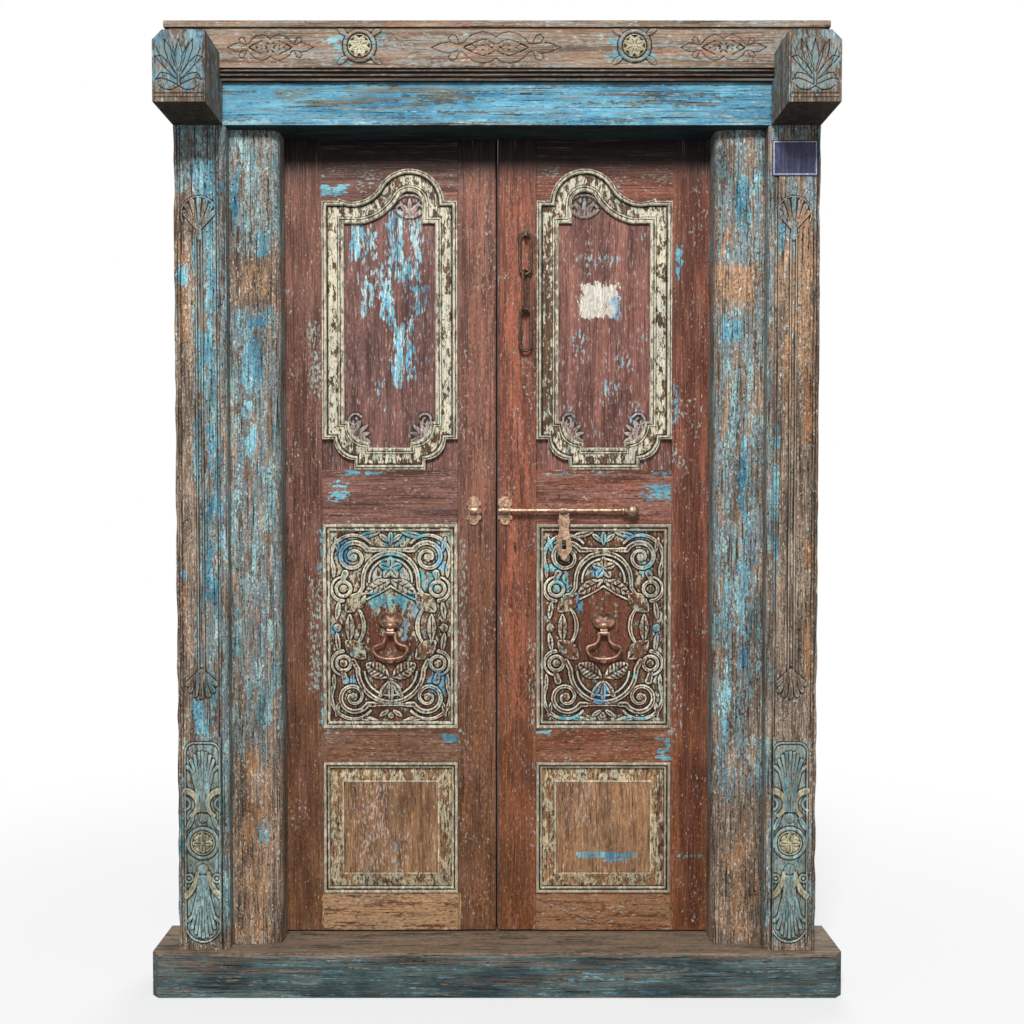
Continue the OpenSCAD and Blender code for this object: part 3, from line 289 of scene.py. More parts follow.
class Carving:
    """Heights over a face in X and Z, in millimetres; side is -1 where the drawing is mirrored."""

    def __init__(self, us, zs, side):
        xs = np.sort(np.asarray(us) * side)
        self.us = xs * side
        self.zs = np.asarray(zs)
        self.x, self.z = np.meshgrid(xs, self.zs)
        self.u = self.x * side
        self.h = np.zeros_like(self.x)
        self.tone = np.zeros_like(self.x)

    def near(self, points, reach):
        """The part of the grid within reach of some points, with its places."""
        low = np.min(points, 0) - reach
        high = np.max(points, 0) + reach
        cols = np.where((self.us >= low[0]) & (self.us <= high[0]))[0]
        rows = np.where((self.zs >= low[1]) & (self.zs <= high[1]))[0]
        if len(cols) < 2 or len(rows) < 2:
            return (slice(0, 1), slice(0, 1)), self.u[:1, :1] + 1e6, self.z[:1, :1]
        part = (slice(rows[0], rows[-1] + 1), slice(cols[0], cols[-1] + 1))
        return part, self.u[part], self.z[part]

    def lay(self, part, inside, body, tone):
        """Lays a form over what is there, where it stands higher."""
        over = inside & (body > self.h[part])
        self.h[part][over] = body[over]
        self.tone[part][over] = tone

    def reach(self, points, w0, w1):
        """How far each place near a line is from it, as a share of the line's half width."""
        points = np.asarray(points, float)
        part, u, z = self.near(points, max(w0, w1))
        runs = np.hypot(*np.diff(points, axis=0).T)
        at = np.concatenate([[0], np.cumsum(runs)]) / runs.sum()
        gap = np.full(u.shape, 9.0)
        for a, b, s0, s1 in zip(points[:-1], points[1:], at[:-1], at[1:]):
            d = b - a
            t = np.clip(((u - a[0]) * d[0] + (z - a[1]) * d[1]) / max(d @ d, 1e-9), 0, 1)
            half = (w0 + (w1 - w0) * (s0 + (s1 - s0) * t)) / 2
            gap = np.minimum(gap, np.hypot(u - a[0] - t * d[0], z - a[1] - t * d[1]) / half)
        return part, gap

    def stroke(self, points, w0, w1, high, flute=0.0, tone=0.0):
        """Rounded band from width w0 to w1, with a hollow along its middle if fluted."""
        part, gap = self.reach(points, w0, w1)
        body = high * np.sqrt(np.clip(1 - gap ** 4, 0, 1)) - flute * np.exp(-(gap / 0.45) ** 2)
        self.lay(part, gap < 1, body, tone)

    def groove(self, points, width, depth):
        """V cut along a line."""
        part, gap = self.reach(points, width, width)
        self.h[part] -= depth * np.clip(1 - gap, 0, 1)

    def leaf(self, at, angle, length, width, high, veins=0, tone=0.0):
        """Pointed leaf with a rib line, and cross cuts where it is veined."""
        way = np.array([math.cos(math.radians(angle)), math.sin(math.radians(angle))])
        at = np.asarray(at, float)
        part, u, z = self.near(np.array([at, at + length * way]), width)
        along = ((u - at[0]) * way[0] + (z - at[1]) * way[1]) / length
        off = -(u - at[0]) * way[1] + (z - at[1]) * way[0]
        half = width / 2 * np.sin(np.pi * np.clip(along, 0, 1)) ** 0.7 + 1e-6
        gap = np.where((along > 0) & (along < 1), np.abs(off) / half, 9.0)
        rib = 1 - 0.45 * np.exp(-(off / (0.08 * width)) ** 2)
        body = high * np.sqrt(np.clip(1 - gap ** 3, 0, 1)) * rib
        if veins:
            cuts = np.sin(2 * np.pi * veins * along - np.abs(off) * 0.35)
            body = body * (1 - 0.35 * np.clip(cuts, 0, 1))
        self.lay(part, gap < 1, body, tone)

    def ball(self, at, r, high, tone=0.0):
        """Round button."""
        part, u, z = self.near(np.array([at, at], float), r)
        gap = np.hypot(u - at[0], z - at[1]) / r
        self.lay(part, gap < 1, high * np.sqrt(np.clip(1 - gap ** 2, 0, 1)), tone)

    def ring(self, at, r, width, high, tone=0.0):
        """Raised ring."""
        self.stroke(arc(at, r, 0, 360, 32), width, width, high, 0.0, tone)

    def fan(self, at, angle, spread, count, length, width, high, tone=0.0):
        """Leaves spread round one direction, shorter to the sides."""
        for turn in np.linspace(-spread / 2, spread / 2, count):
            self.leaf(at, angle + turn, length * (1 - 0.25 * abs(turn) / spread), width, high, 0, tone)

    def board(self, face, back, blur=6):
        """Closed board whose front carries the carving; face and back are Y, or give Y for points."""
        rows, cols = self.h.shape
        points = np.stack([self.x, face - self.h, self.z], -1).reshape(-1, 3)
        index = np.arange(rows * cols).reshape(rows, cols)
        corners = [index[:-1, :-1], index[:-1, 1:], index[1:, 1:], index[1:, :-1]]
        quads = np.stack(corners, -1).reshape(-1, 4)
        rim = np.concatenate([index[0, :-1], index[:-1, -1], index[-1, :0:-1], index[:0:-1, 0]])
        behind = points[rim].copy()
        behind[:, 1] = back(behind) if callable(back) else back
        ring = rows * cols + np.arange(len(rim))
        sides = np.stack([rim, ring, np.roll(ring, -1), np.roll(rim, -1)], -1)
        smooth = self.h.copy()
        for _ in range(blur):
            wide = np.pad(smooth, 1, mode="edge")
            smooth = (wide[:-2, 1:-1] + wide[2:, 1:-1] + wide[1:-1, :-2] + wide[1:-1, 2:] + smooth) / 5
        spare = np.zeros(len(rim))
        marks = {"raise": np.concatenate([self.h.ravel(), spare]),
                 "cavity": np.concatenate([(self.h - smooth).ravel(), spare]),
                 "tone": np.concatenate([self.tone.ravel(), spare])}
        faces = quads.tolist() + sides.tolist() + [ring[::-1].tolist()]
        return np.concatenate([points, behind]), faces, marks


def make_piece(name, points, faces, material, body, replaced, marks=None, sharp=50):
    """New mesh from points in millimetres; it rides on a body and stands for a CAD node, with its slot."""
    mesh = bpy.data.meshes.new(name)
    mesh.from_pydata((np.asarray(points) * MM).tolist(), [], faces)
    mesh.validate()
    mesh.polygons.foreach_set("use_smooth", [True] * len(mesh.polygons))
    mesh.set_sharp_from_angle(angle=math.radians(sharp))
    for mark, values in (marks or {}).items():
        mesh.attributes.new(mark, "FLOAT", "POINT").data.foreach_set("value", np.asarray(values, float))
    mesh.materials.append(material)
    piece = bpy.data.objects.new(name, mesh)
    scene.collection.objects.link(piece)
    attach(piece, body)
    if replaced:
        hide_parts(replaced)
    return piece


def stations(*stretches):
    """Places along a line that run through (from, to, spacing) stretches."""
    return np.concatenate([np.arange(a, b, s) for a, b, s in stretches] + [[stretches[-1][1]]])


rng = np.random.default_rng(4)
PILASTER_IN, PILASTER_OUT, PILASTER_LOW, PILASTER_HIGH = 580, 691, 95, 1871
PILASTER_PROUD, PILASTER_DEEP, FOOT_TOP = 33, 103, 560
BEAD_MID, BEAD_R, REED, OUTER_REED, REED_HALF = 588.5, 8.5, 677, 684, 1.6
ROSE_Z = 329
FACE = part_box("left_jamb")[0][1] / MM - PILASTER_PROUD


def pilaster(side, name, post, wash, mid):
    """Carves and paints one pilaster; mid is the middle line of its carving."""
    us = stations((PILASTER_IN, 606, 0.9), (606, 672, 1.1), (672, PILASTER_OUT, 0.9))
    zs = stations((PILASTER_LOW, 570, 1.6), (570, 635, 9.0), (635, 745, 1.8), (745, 1600, 9.0),
                  (1600, 1735, 1.5), (1735, PILASTER_HIGH, 9.0))
    cut = Carving(us, zs, side)

    def palmette(base, centre, reach, way):
        """Fan of seven fluted petals."""
        for turn in np.radians(np.linspace(-84, 84, 7)):
            tip = (mid + reach * math.sin(turn), centre + way * reach * math.cos(turn))
            cut.stroke([(mid + 2 * math.sin(turn), base), tip], 3, 11, 3.4, 1.2)

    def sheaf(places):
        """Long palm whose blades spread through these places."""
        for k in np.arange(-4, 4.1, 0.5):
            line = [(mid + spread * k, z + bow * k * k) for spread, z, bow in places]
            if k % 1:
                cut.groove(line, 2.4, 2.6)
            else:
                cut.stroke(line, 4, 8, 3.4)

    palmette(1648, 1682, 31, 1)
    cut.stroke(arc((mid, 1682), 37.5, -25, 205, 26), 3.4, 3.4, 3.0)
    cut.stroke([(mid, 1662), (mid, 1634)], 10, 15, 3.6)
    for shift in (-6, 6):
        cut.stroke([(mid + shift, 1640), (mid + shift, 690)], 3.4, 3.4, 2.6)
    palmette(706, 678, 30, -1)
    arch = np.concatenate([[(mid + 37, 112)], arc((mid + 17, 527), 20, 0, 90, 8),
                           arc((mid - 17, 527), 20, 90, 180, 8), [(mid - 37, 112)]])
    cut.stroke(arch, 4, 4, 3.0)
    sheaf([(2.4, 398, 0), (3.0, 440, 0), (5.4, 484, 0), (8.2, 526, -1.9)])
    cut.ball((mid, 384), 11, 3.8)
    cut.ring((mid, ROSE_Z), 32, 8, 3.6)
    cut.ball((mid, ROSE_Z), 27, 2.0, 1.0)
    cut.ring((mid, ROSE_Z), 25, 3, 3.4, 1.0)
    for turn in range(0, 360, 90):
        cut.leaf((mid, ROSE_Z), turn, 23, 15, 4.2, tone=1.0)
        cut.leaf((mid, ROSE_Z), turn + 45, 15, 7, 3.4, tone=1.0)
    cut.ball((mid, ROSE_Z), 5, 4.6, 1.0)
    cut.ball((mid, 271), 12, 3.8)
    for way in (-1, 1):
        horn = np.array([mid + way * 40, 414])
        cut.stroke(arc(horn, 29, 90 + way * 8, 90 + way * 150, 22), 15, 8, 3.8, 1.2, 1.0)
        cut.stroke(arc(horn, 13, 90 + way * 8, 90 + way * 180, 14), 6, 5, 3.2, 0.6)
        cut.leaf((mid + way * 35, 356), 90 + way * 25, 38, 11, 3.4)
        cut.ring((mid + way * 30, 252), 8, 5, 3.4)
        cut.ball((mid + way * 30, 252), 4, 3.8, 1.0)
        cut.stroke([(mid + way * 12, 264), (mid + way * 17, 242), (mid + way * 26, 224),
                    (mid + way * 36, 214)],
                   8, 15, 3.8, 1.2, 1.0)
    sheaf([(2.2, 258, 0), (3.2, 214, 0), (5.6, 170, 0), (8.2, 124, 2.2)])
    cut.stroke(arc((mid, 150), 37, 200, 340, 20), 4, 4, 3.0)
    foot_face = cut.z < FOOT_TOP
    clear = np.where(foot_face, (cut.u > 597.5) & (cut.u < 681), (cut.u > 603) & (cut.u < 674))
    cut.h = np.where(clear, cut.h, 0)
    bead = np.sqrt(np.clip(BEAD_R ** 2 - (cut.u - BEAD_MID) ** 2, 0, None)) - BEAD_R
    cut.h += np.where(cut.u < 597, np.maximum(bead, -3.2), 0)
    cut.h += np.where((cut.u >= 597) & (cut.u < 601) & ~foot_face, -3.0, 0)
    cut.h -= 2.0 * np.clip(1 - np.abs(cut.u - REED) / REED_HALF, 0, 1) * ~foot_face
    cut.h -= 2.0 * np.clip(1 - np.abs(cut.u - OUTER_REED) / REED_HALF, 0, 1)
    knocks = np.arange(80, 1900, 35)
    worn = np.interp(zs, knocks, rng.uniform(0, 1, len(knocks)) ** 2)[:, None]
    outer = np.clip((cut.u - 680) / 11, 0, 1)
    cut.h -= 3.0 * worn * outer ** 2
    cut.x -= side * 2.5 * worn * outer
    tone = post.add("Attribute", attribute_name="tone", pick=2)
    raised = post.add("Attribute", attribute_name="raise", pick=2)
    niche = [(side * mid - 42, side * mid + 42, 108, 556, 16)]
    foot = post.zone(niche)
    lift = post.add("MapRange", raised, 0.2, 2.0, -0.03, 0.04)
    post.coat(("#a0aca0", "#82999a"), (16, 40), 0.42, 0.06, niche, extra=lift)
    post.coat(("#729fad", "#92b4b2"), (14, 30), 0.545, 0.05, niche, extra=lift)
    cream = post.add("Math", post.add("MapRange", post.flake, 0.36, 0.5, 0.3, 0.95), tone,
                     operation="MULTIPLY")
    post.over(post.add("Math", cream, foot, operation="MULTIPLY"), "#c0b793")
    # Dirt and painted shade in the hollows of the carving, and a pale colour on its proud edges, partly
    # wear and partly painted highlight.
    post.cavities("#171310", "#b3b09c", 0.95, 0.5)
    points, faces, marks = cut.board(FACE, FACE + PILASTER_DEEP)
    make_piece(name + "_carved", points, faces, post.done(paint=wash, **POST_WEAR), "frame", name, marks)


post, wash = post_paint(
    "left_pilaster_paint", 29.0,
    [(-658, -588, 1690, 1806, 30), (-626, -602, 1434, 1660, 24), (-653, -636, 1395, 1660, 16),
     (-690, -652, 1530, 1585, 20), (-645, -602, 1284, 1434, 24), (-657, -634, 1100, 1267, 20),
     (-628, -590, 1040, 1250, 40), (-630, -590, 850, 1000, 60), (-655, -620, 560, 640, 40),
     (-690, -660, 880, 980, 40)],
    [(-700, -655, 480, 1720, 40), (-700, -570, 60, 130, 40)],
    [(-690, -655, 1400, 1640, 40), (-690, -655, 560, 980, 50)], 0.455)
pilaster(-1, "left_pilaster", post, wash, 637.0)
post, wash = post_paint(
    "right_pilaster_paint", 43.0,
    [(628, 641, 1480, 1670, 12), (592, 612, 1185, 1240, 16), (594, 606, 940, 1150, 12),
     (598, 616, 1600, 1660, 14)],
    [(610, 700, 400, 1610, 60), (570, 700, 60, 130, 40)],
    [(606, 692, 1180, 1720, 40), (650, 690, 580, 1000, 60)], 0.475,
    [(655, 690, 1530, 1620, 30), (612, 690, 1380, 1700, 90)])
pilaster(1, "right_pilaster", post, wash, 634.0)

# Lintel: the beam over the opening, rebated behind for the leaves, with a lip along its lower edge.
# It keeps the brightest blue paint, cracked along the grain, and its underside is darkened with painted
# shade.
head = Finish("lintel_blue_paint", "x", 7.0)
head.wood("#4a4942", "#7d786b")
paint = head.coat(("#4790b2", "#68a6bd"), (11, 260), 0.41, 0.05)
head.coat(("#8b9a93", "#68858d"), (13, 120), 0.53, 0.05, blend=0.85)
head.coat(("#6c6a52", "#5c665c"), (9, 90), 0.54, 0.05, [(-600, -80, 1880, 1962, 200)], 0.07)
head.coat(("#75705a", "#5b6660"), (12, 150), 0.45, 0.08,
          [(-480, -250, 1912, 1948, 36), (-330, -60, 1926, 1956, 24)], 0.2, blend=0.75)
head.coat(("#a9c8cf", "#95bcc7"), (5, 60), 0.565, 0.05, [(60, 560, 1880, 1962, 120)], 0.05, blend=0.8)
head.coat(("#5f9fb5", "#a8bfb8"), (5, 120), 0.47, 0.06, [(-600, 600, 1871, 1884, 3)])
head.coat(("#121a19", "#2a3434"), (2.4, 170), 0.565, 0.035)
# Painted shade on the lintel's underside.
head.shade_under("#0d1312")
dress("lintel", head.done(0.65, paint, 0.6, mottle=0.35))

# Cornice: a beam on top of the lintel with stepped mouldings under a carved fascia and a plain fillet.
# Its paint is nearly gone: grey-brown timber, blue by the rosettes, cream on their petals.
crown = Finish("weathered_cornice", "x", 19.0)
crown.wood("#665446", "#a38c77")
crown.coat(("#a09a90", "#8b8b85"), (14, 180), 0.49, 0.08)
crown.coat(("#a97a60", "#976d59"), (16, 160), 0.55, 0.07)
crown.coat(("#669aa6", "#86adb2"), (16, 50), 0.475, 0.05,
           [(-360, -225, 1985, 2064, 60), (225, 345, 1985, 2064, 50)], 0.2)
crown.coat(("#7f9da0", "#93aaa6"), (10, 40), 0.585, 0.05, blend=0.8)
crown.coat(("#d0c2ae", "#b5aa9b"), (4, 14), 0.575, 0.05, blend=0.7)
petals = crown.add("Attribute", attribute_name="tone", pick=2)
crown.over(crown.add("Math", petals, 0.8, operation="MULTIPLY"), "#cfc39d")
crown.coat(("#221b17", "#43362c"), (2.2, 120), 0.565, 0.05)
# Painted shadow: the lowest steps of the moulding are darkened on the front, as in the shade below the
# cornice.
steps_painted_shadow = crown.add("MapRange", crown.z, 1.986, 1.978, 0.0, 0.55)
steps_painted_shadow = crown.add("Math", steps_painted_shadow, crown.front, operation="MULTIPLY")
crown.over(steps_painted_shadow, "#241f1b")
# Dirt and painted shade in the hollows and a pale colour on proud edges, partly wear and partly painted
# highlight; painted shade underneath.
crown.cavities("#17110e", "#a08d78", 0.95)
crown.shade_under("#15110e")
HEAD_HALF, FILLET_HALF, FILLET_PROUD, CORNICE_DEEP = 691, 702, 29, 144
CORNICE_LOW, FASCIA_LOW, FASCIA_HIGH, CORNICE_HIGH = 1962, 1984, 2067, 2080
ROSETTE_Z, VINE_Z = 2029, 2026
us = stations((-HEAD_HALF, HEAD_HALF, 2.0))
zs = stations((CORNICE_LOW, FASCIA_LOW, 1.75), (FASCIA_LOW, FASCIA_HIGH, 1.6))
cut = Carving(us, zs, 1)
for cx in (-290, 290):
    cut.ring((cx, ROSETTE_Z), 31, 8, 3.4)
    cut.ring((cx, ROSETTE_Z), 23, 3, 2.8, 1.0)
    for turn in range(0, 360, 45):
        cut.leaf((cx, ROSETTE_Z), turn + 22.5, 23, 14, 3.4, tone=1.0)
    cut.ball((cx, ROSETTE_Z), 6, 4.0, 1.0)
    for turn in (40, 140, 220, 320):
        way = np.array([math.cos(math.radians(turn)), math.sin(math.radians(turn))])
        cut.leaf(np.array([cx, ROSETTE_Z]) + 34 * way, turn, 26, 12, 2.8)
for cx, share in ((-478, 0.66), (-2, 1.0), (478, 0.66)):
    for way in (-1, 1):
        for up in (-1, 1):
            for line in (
                [(68, 0), (48, 10), (28, 17), (12, 13), (0, 5)],
                [(0, 22), (12, 30), (28, 33), (46, 29), (60, 20), (70, 9), (82, 7), (98, 12), (116, 9),
                 (136, 0)],
                [(66, 2), (52, 8), (42, 0)], [(0, 5), (10, 0), (20, 8), (30, 4)],
                [(78, 10), (84, 24), (94, 27), (101, 20), (96, 13)],
            ):
                places = [(cx + way * share * u, VINE_Z + up * min(1.0, share + 0.15) * z)
                          for u, z in line]
                cut.groove(places, 3.4, 2.0)
            cut.ball((cx + way * share * 20, VINE_Z + up * 9), 6, 1.6)
    cut.ball((cx, VINE_Z), 7, 1.8)
cut.h = np.where((cut.z > 1985) & (cut.z < 2064), cut.h, 0)
steps = np.interp(cut.z, [1962, 1968.6, 1969.4, 1975.6, 1976.4, 1982.6, 1983.4],
                  [-8, -8, -13, -13, -18, -18, -23])
points, faces, marks = cut.board(FACE + steps, FACE + CORNICE_DEEP, 4)
# The rows at the steps of the moulding get a lower cavity, so they take painted shade lines in the creases.
ledge = np.isin(np.round(cut.z, 2), np.round(zs[[3, 4, 8, 9]], 2))
marks["cavity"][:cut.h.size] -= 0.8 * ledge.ravel()
front, back = FACE - FILLET_PROUD, FACE + CORNICE_DEEP
around = ((-FILLET_HALF, front), (FILLET_HALF, front), (FILLET_HALF, back), (-FILLET_HALF, back))
fillet = [(x, y, z) for z in (FASCIA_HIGH, CORNICE_HIGH) for x, y in around]
box_faces = np.array([(0, 1, 5, 4), (1, 2, 6, 5), (2, 3, 7, 6), (3, 0, 4, 7), (4, 5, 6, 7), (3, 2, 1, 0)])
faces = faces + (box_faces + len(points)).tolist()
points = np.concatenate([points, fillet])
marks = {mark: np.concatenate([values, np.zeros(8)]) for mark, values in marks.items()}
make_piece("cornice_carved", points, faces, crown.done(0.78), "frame", "cornice", marks)

# Brackets: blocks tenoned into both ends of the head, with a palm cut on the front.
# Grey teal paint is left on the front, the inner and under sides are bare and dark, and the under sides are
# darkened further with painted shade.
knee = Finish("bracket_teal_paint", "z", 53.0)
knee.wood("#4a3d33", "#84705d")
wash = knee.coat(("#869795", "#6c868c"), (26, 50), 0.42, 0.09,
                 [(-692, -584, 1895, 2012, 20), (584, 692, 1895, 2012, 20)], 0.16)
knee.coat(("#6f9fae", "#8bb0b4"), (20, 40), 0.54, 0.08, blend=0.8)
knee.coat(("#568a9e", "#759fb0"), (18, 40), 0.45, 0.1, [(-692, -584, 1890, 2012, 20)], 0.2, blend=0.65)
knee.coat(("#a58b78", "#93857a"), (18, 40), 0.46, 0.1, [(584, 692, 1890, 2012, 20)], 0.2, blend=0.4)
knee.coat(("#93705c", "#846a58"), (14, 26), 0.565, 0.06, blend=0.7)
knee.coat(("#bdb6a8", "#a6b0ac"), (4, 7), 0.57, 0.05, blend=0.6)
# Dirt and painted shade in the grooves, and a pale grey-blue on proud edges, partly wear and partly painted
# highlight.
knee.cavities("#12100e", "#8a9a9c", 0.95, 0.35)
knee.shade_under("#1a1512", 0.7)
bracket_paint = knee.done(0.75, wash)
BRACKET_IN, BRACKET_OUT, BRACKET_LOW, BRACKET_HIGH = 585, 691, 1871, 2014
BRACKET_MID, BRACKET_PROUD, PALM_Z, SLOPE = 638, 148.5, 1902, 20


def bracket_back(points):
    """Where the sides of a bracket end: on the cornice above, on the lintel below."""
    return np.where(points[:, 2] > 1963, FACE - 23, FACE)


for side, node_name in ((-1, "left_bracket"), (1, "right_bracket")):
    us = stations((BRACKET_IN, BRACKET_OUT, 1.3))
    zs = stations((BRACKET_LOW, BRACKET_HIGH, 1.3))
    cut = Carving(us, zs, side)
    for way in (-1, 1):
        for line in (
            [(0, 92), (7, 68), (7, 52), (0, 30)], [(3, 0), (3, 34)],
            [(3, 30), (13, 58), (17, 78), (28, 92)], [(28, 92), (28, 74), (20, 50), (6, 26)],
            [(5, 24), (22, 48), (36, 61), (47, 58)], [(47, 58), (39, 49), (25, 34), (7, 16)],
            [(5, 14), (22, 25), (36, 27), (46, 13)], [(46, 13), (35, 16), (22, 12), (5, 4)],
            [(0, 0), (14, -8), (30, -6), (40, 2)], [(8, 60), (20, 88)], [(30, 40), (44, 76)],
        ):
            cut.groove([(BRACKET_MID + way * u, PALM_Z + z) for u, z in line], 3.2, 2.2)
        cut.groove([(BRACKET_MID + way * 49, z) for z in (1876, 1990)], 2.4, 1.4)
    cut.groove([(590, 1888), (686, 1888)], 3.0, 1.8)
    cut.groove([(590, 1880), (686, 1880)], 2.4, 1.4)
    clip = np.clip(cut.z - (BRACKET_HIGH - SLOPE), 0, None)
    cut.x = side * (cut.u - (cut.u - BRACKET_IN) / (BRACKET_OUT - BRACKET_IN) * clip)
    cut.h *= (cut.z < 2005)
    points, faces, marks = cut.board(FACE - BRACKET_PROUD, bracket_back)
    make_piece(node_name + "_carved", points, faces, bracket_paint, "frame", node_name, marks)

# Plate: a small sheet of iron with fired blue enamel, left bare, with a white line inside its edge.
# Four round-headed nails hold it to the right pilaster.
low, high = (np.array(c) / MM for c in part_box("number_plate"))
plate = Finish("blue_enamel", "z", 5.0)
plate.wood("#2f3350", "#454b70")
rim = plate.outside(low[0], high[0], low[2], high[2])
line = plate.add("MapRange", rim, -2.6 * MM, -3.2 * MM)
line = plate.add("Math", line, plate.add("MapRange", rim, -5.2 * MM, -4.6 * MM), operation="MULTIPLY")
plate.over(line, "#c3c4cc")
plate.coat(("#4f423c", "#72645b"), (7, 7), 0.585, 0.04)
dress("number_plate", plate.done(0.3, None, 0.1), 0.5)


# Iron: forged or cast by hand, dark and rusted on the old pieces, rubbed to a bronze brown on the bolt.
# It gives the eye a dull sheen with lighter blots, where the rust is rubbed off.
def iron(name, dark, light, metal, rough, seed, blot=6):
    """Iron in two tones, with blots of this size in millimetres."""
    forged = Finish(name, "z", seed)
    forged.pores = forged.blots(2.2, 2.2, 4.0)
    share = forged.add("MapRange", forged.blots(blot, blot, 1.0), 0.35, 0.65)
    forged.colour = forged.add("MixRGB", share, dark, light)
    forged.done(rough, None, 0.3)
    forged.sockets["Metallic"].default_value = metal
    forged.sockets["Specular IOR Level"].default_value = 0.5
    return forged.material


old_iron = iron("rusted_iron", "#2c201a", "#664a3b", 0.5, 0.5, 231.0)
bolt_iron = iron("rubbed_bolt_iron", "#80604c", "#d2ac8e", 0.65, 0.36, 239.0)


def grown(name, points, tree, material, inputs, loop=False):
    """Plain mesh that a Geometry Nodes tree makes on these points, in millimetres."""
    count = len(points)
    edges = [(i, (i + 1) % count) for i in range(count)] if loop else []
    seed_mesh = bpy.data.meshes.new(name + "_points")
    seed_mesh.from_pydata((np.asarray(points) * MM).tolist(), edges, [])
    seed = bpy.data.objects.new(name + "_seed", seed_mesh)
    scene.collection.objects.link(seed)
    worker = seed.modifiers.new("grow", "NODES")
    worker.node_group = tree
    for item in tree.interface.items_tree:
        if item.in_out == "INPUT" and item.name in inputs:
            worker[item.identifier] = inputs[item.name]
    shape = bpy.data.meshes.new_from_object(seed.evaluated_get(bpy.context.evaluated_depsgraph_get()))
    bpy.data.objects.remove(seed)
    shape.materials.clear()
    shape.materials.append(material)
    shape.polygons.foreach_set("use_smooth", [True] * len(shape.polygons))
    piece = bpy.data.objects.new(name, shape)
    scene.collection.objects.link(piece)
    return piece


def grow_tree(name, sizes):
    """Empty Geometry Nodes tree with named sizes: the tree, what it is given, and where its result goes."""
    tree = bpy.data.node_groups.new(name, "GeometryNodeTree")
    tree.interface.new_socket("Geometry", in_out="INPUT", socket_type="NodeSocketGeometry")
    for size, value in sizes.items():
        socket = tree.interface.new_socket(size, in_out="INPUT", socket_type="NodeSocketFloat")
        socket.default_value = value
    tree.interface.new_socket("Geometry", in_out="OUTPUT", socket_type="NodeSocketGeometry")
    begin = tree.nodes.new("NodeGroupInput")
    end = tree.nodes.new("NodeGroupOutput")
    return tree, begin.outputs, end.inputs[0]


NAIL_RADIUS, NAIL_INSET = 2.4, 7
nail_tree, begin, end = grow_tree("round_nails", {"Nail radius": NAIL_RADIUS * MM})
round_head = add(nail_tree, "MeshUVSphere", 14, 8, begin["Nail radius"])
spots = add(nail_tree, "InstanceOnPoints", begin["Geometry"], Instance=round_head, Scale=(1.0, 0.5, 1.0))
real = add(nail_tree, "RealizeInstances", spots)
nail_tree.links.new(add(nail_tree, "SetMaterial", real, Material=old_iron), end)
corners = [(x, low[1], z) for x in (low[0] + NAIL_INSET, high[0] - NAIL_INSET)
           for z in (low[2] + NAIL_INSET, high[2] - NAIL_INSET)]
nails = grown("plate_nails", corners, nail_tree, old_iron, {"Nail radius": NAIL_RADIUS * MM})
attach(nails, "frame")

# Pivots of the leaves: round tenons of the hinge stiles, which turn in iron cups below and bushes above.
# The cups are let into the threshold and the bushes into the lintel, so little of them shows.
for side in ("left", "right"):
    for name in ("pivot_cup", "pivot_bush"):
        dress(side + "_" + name, old_iron, 0)


# Leaves: stiles and rails of red-brown painted hardwood, tenoned and flush, browner towards the foot.
# Pale flecks gather round the mouldings, blue patches are left here and there, and the top of the front
# carries a painted shadow of the lintel.
LEAF_MID = 239


def warm_right(skin, gain):
    """Changes the colour of the right leaf by a gain in red, green and blue."""
    right = skin.add("MapRange", skin.x, -MM, MM)
    tinted = skin.add("VectorMath", skin.colour, gain, operation="MULTIPLY")
    skin.over(right, tinted)


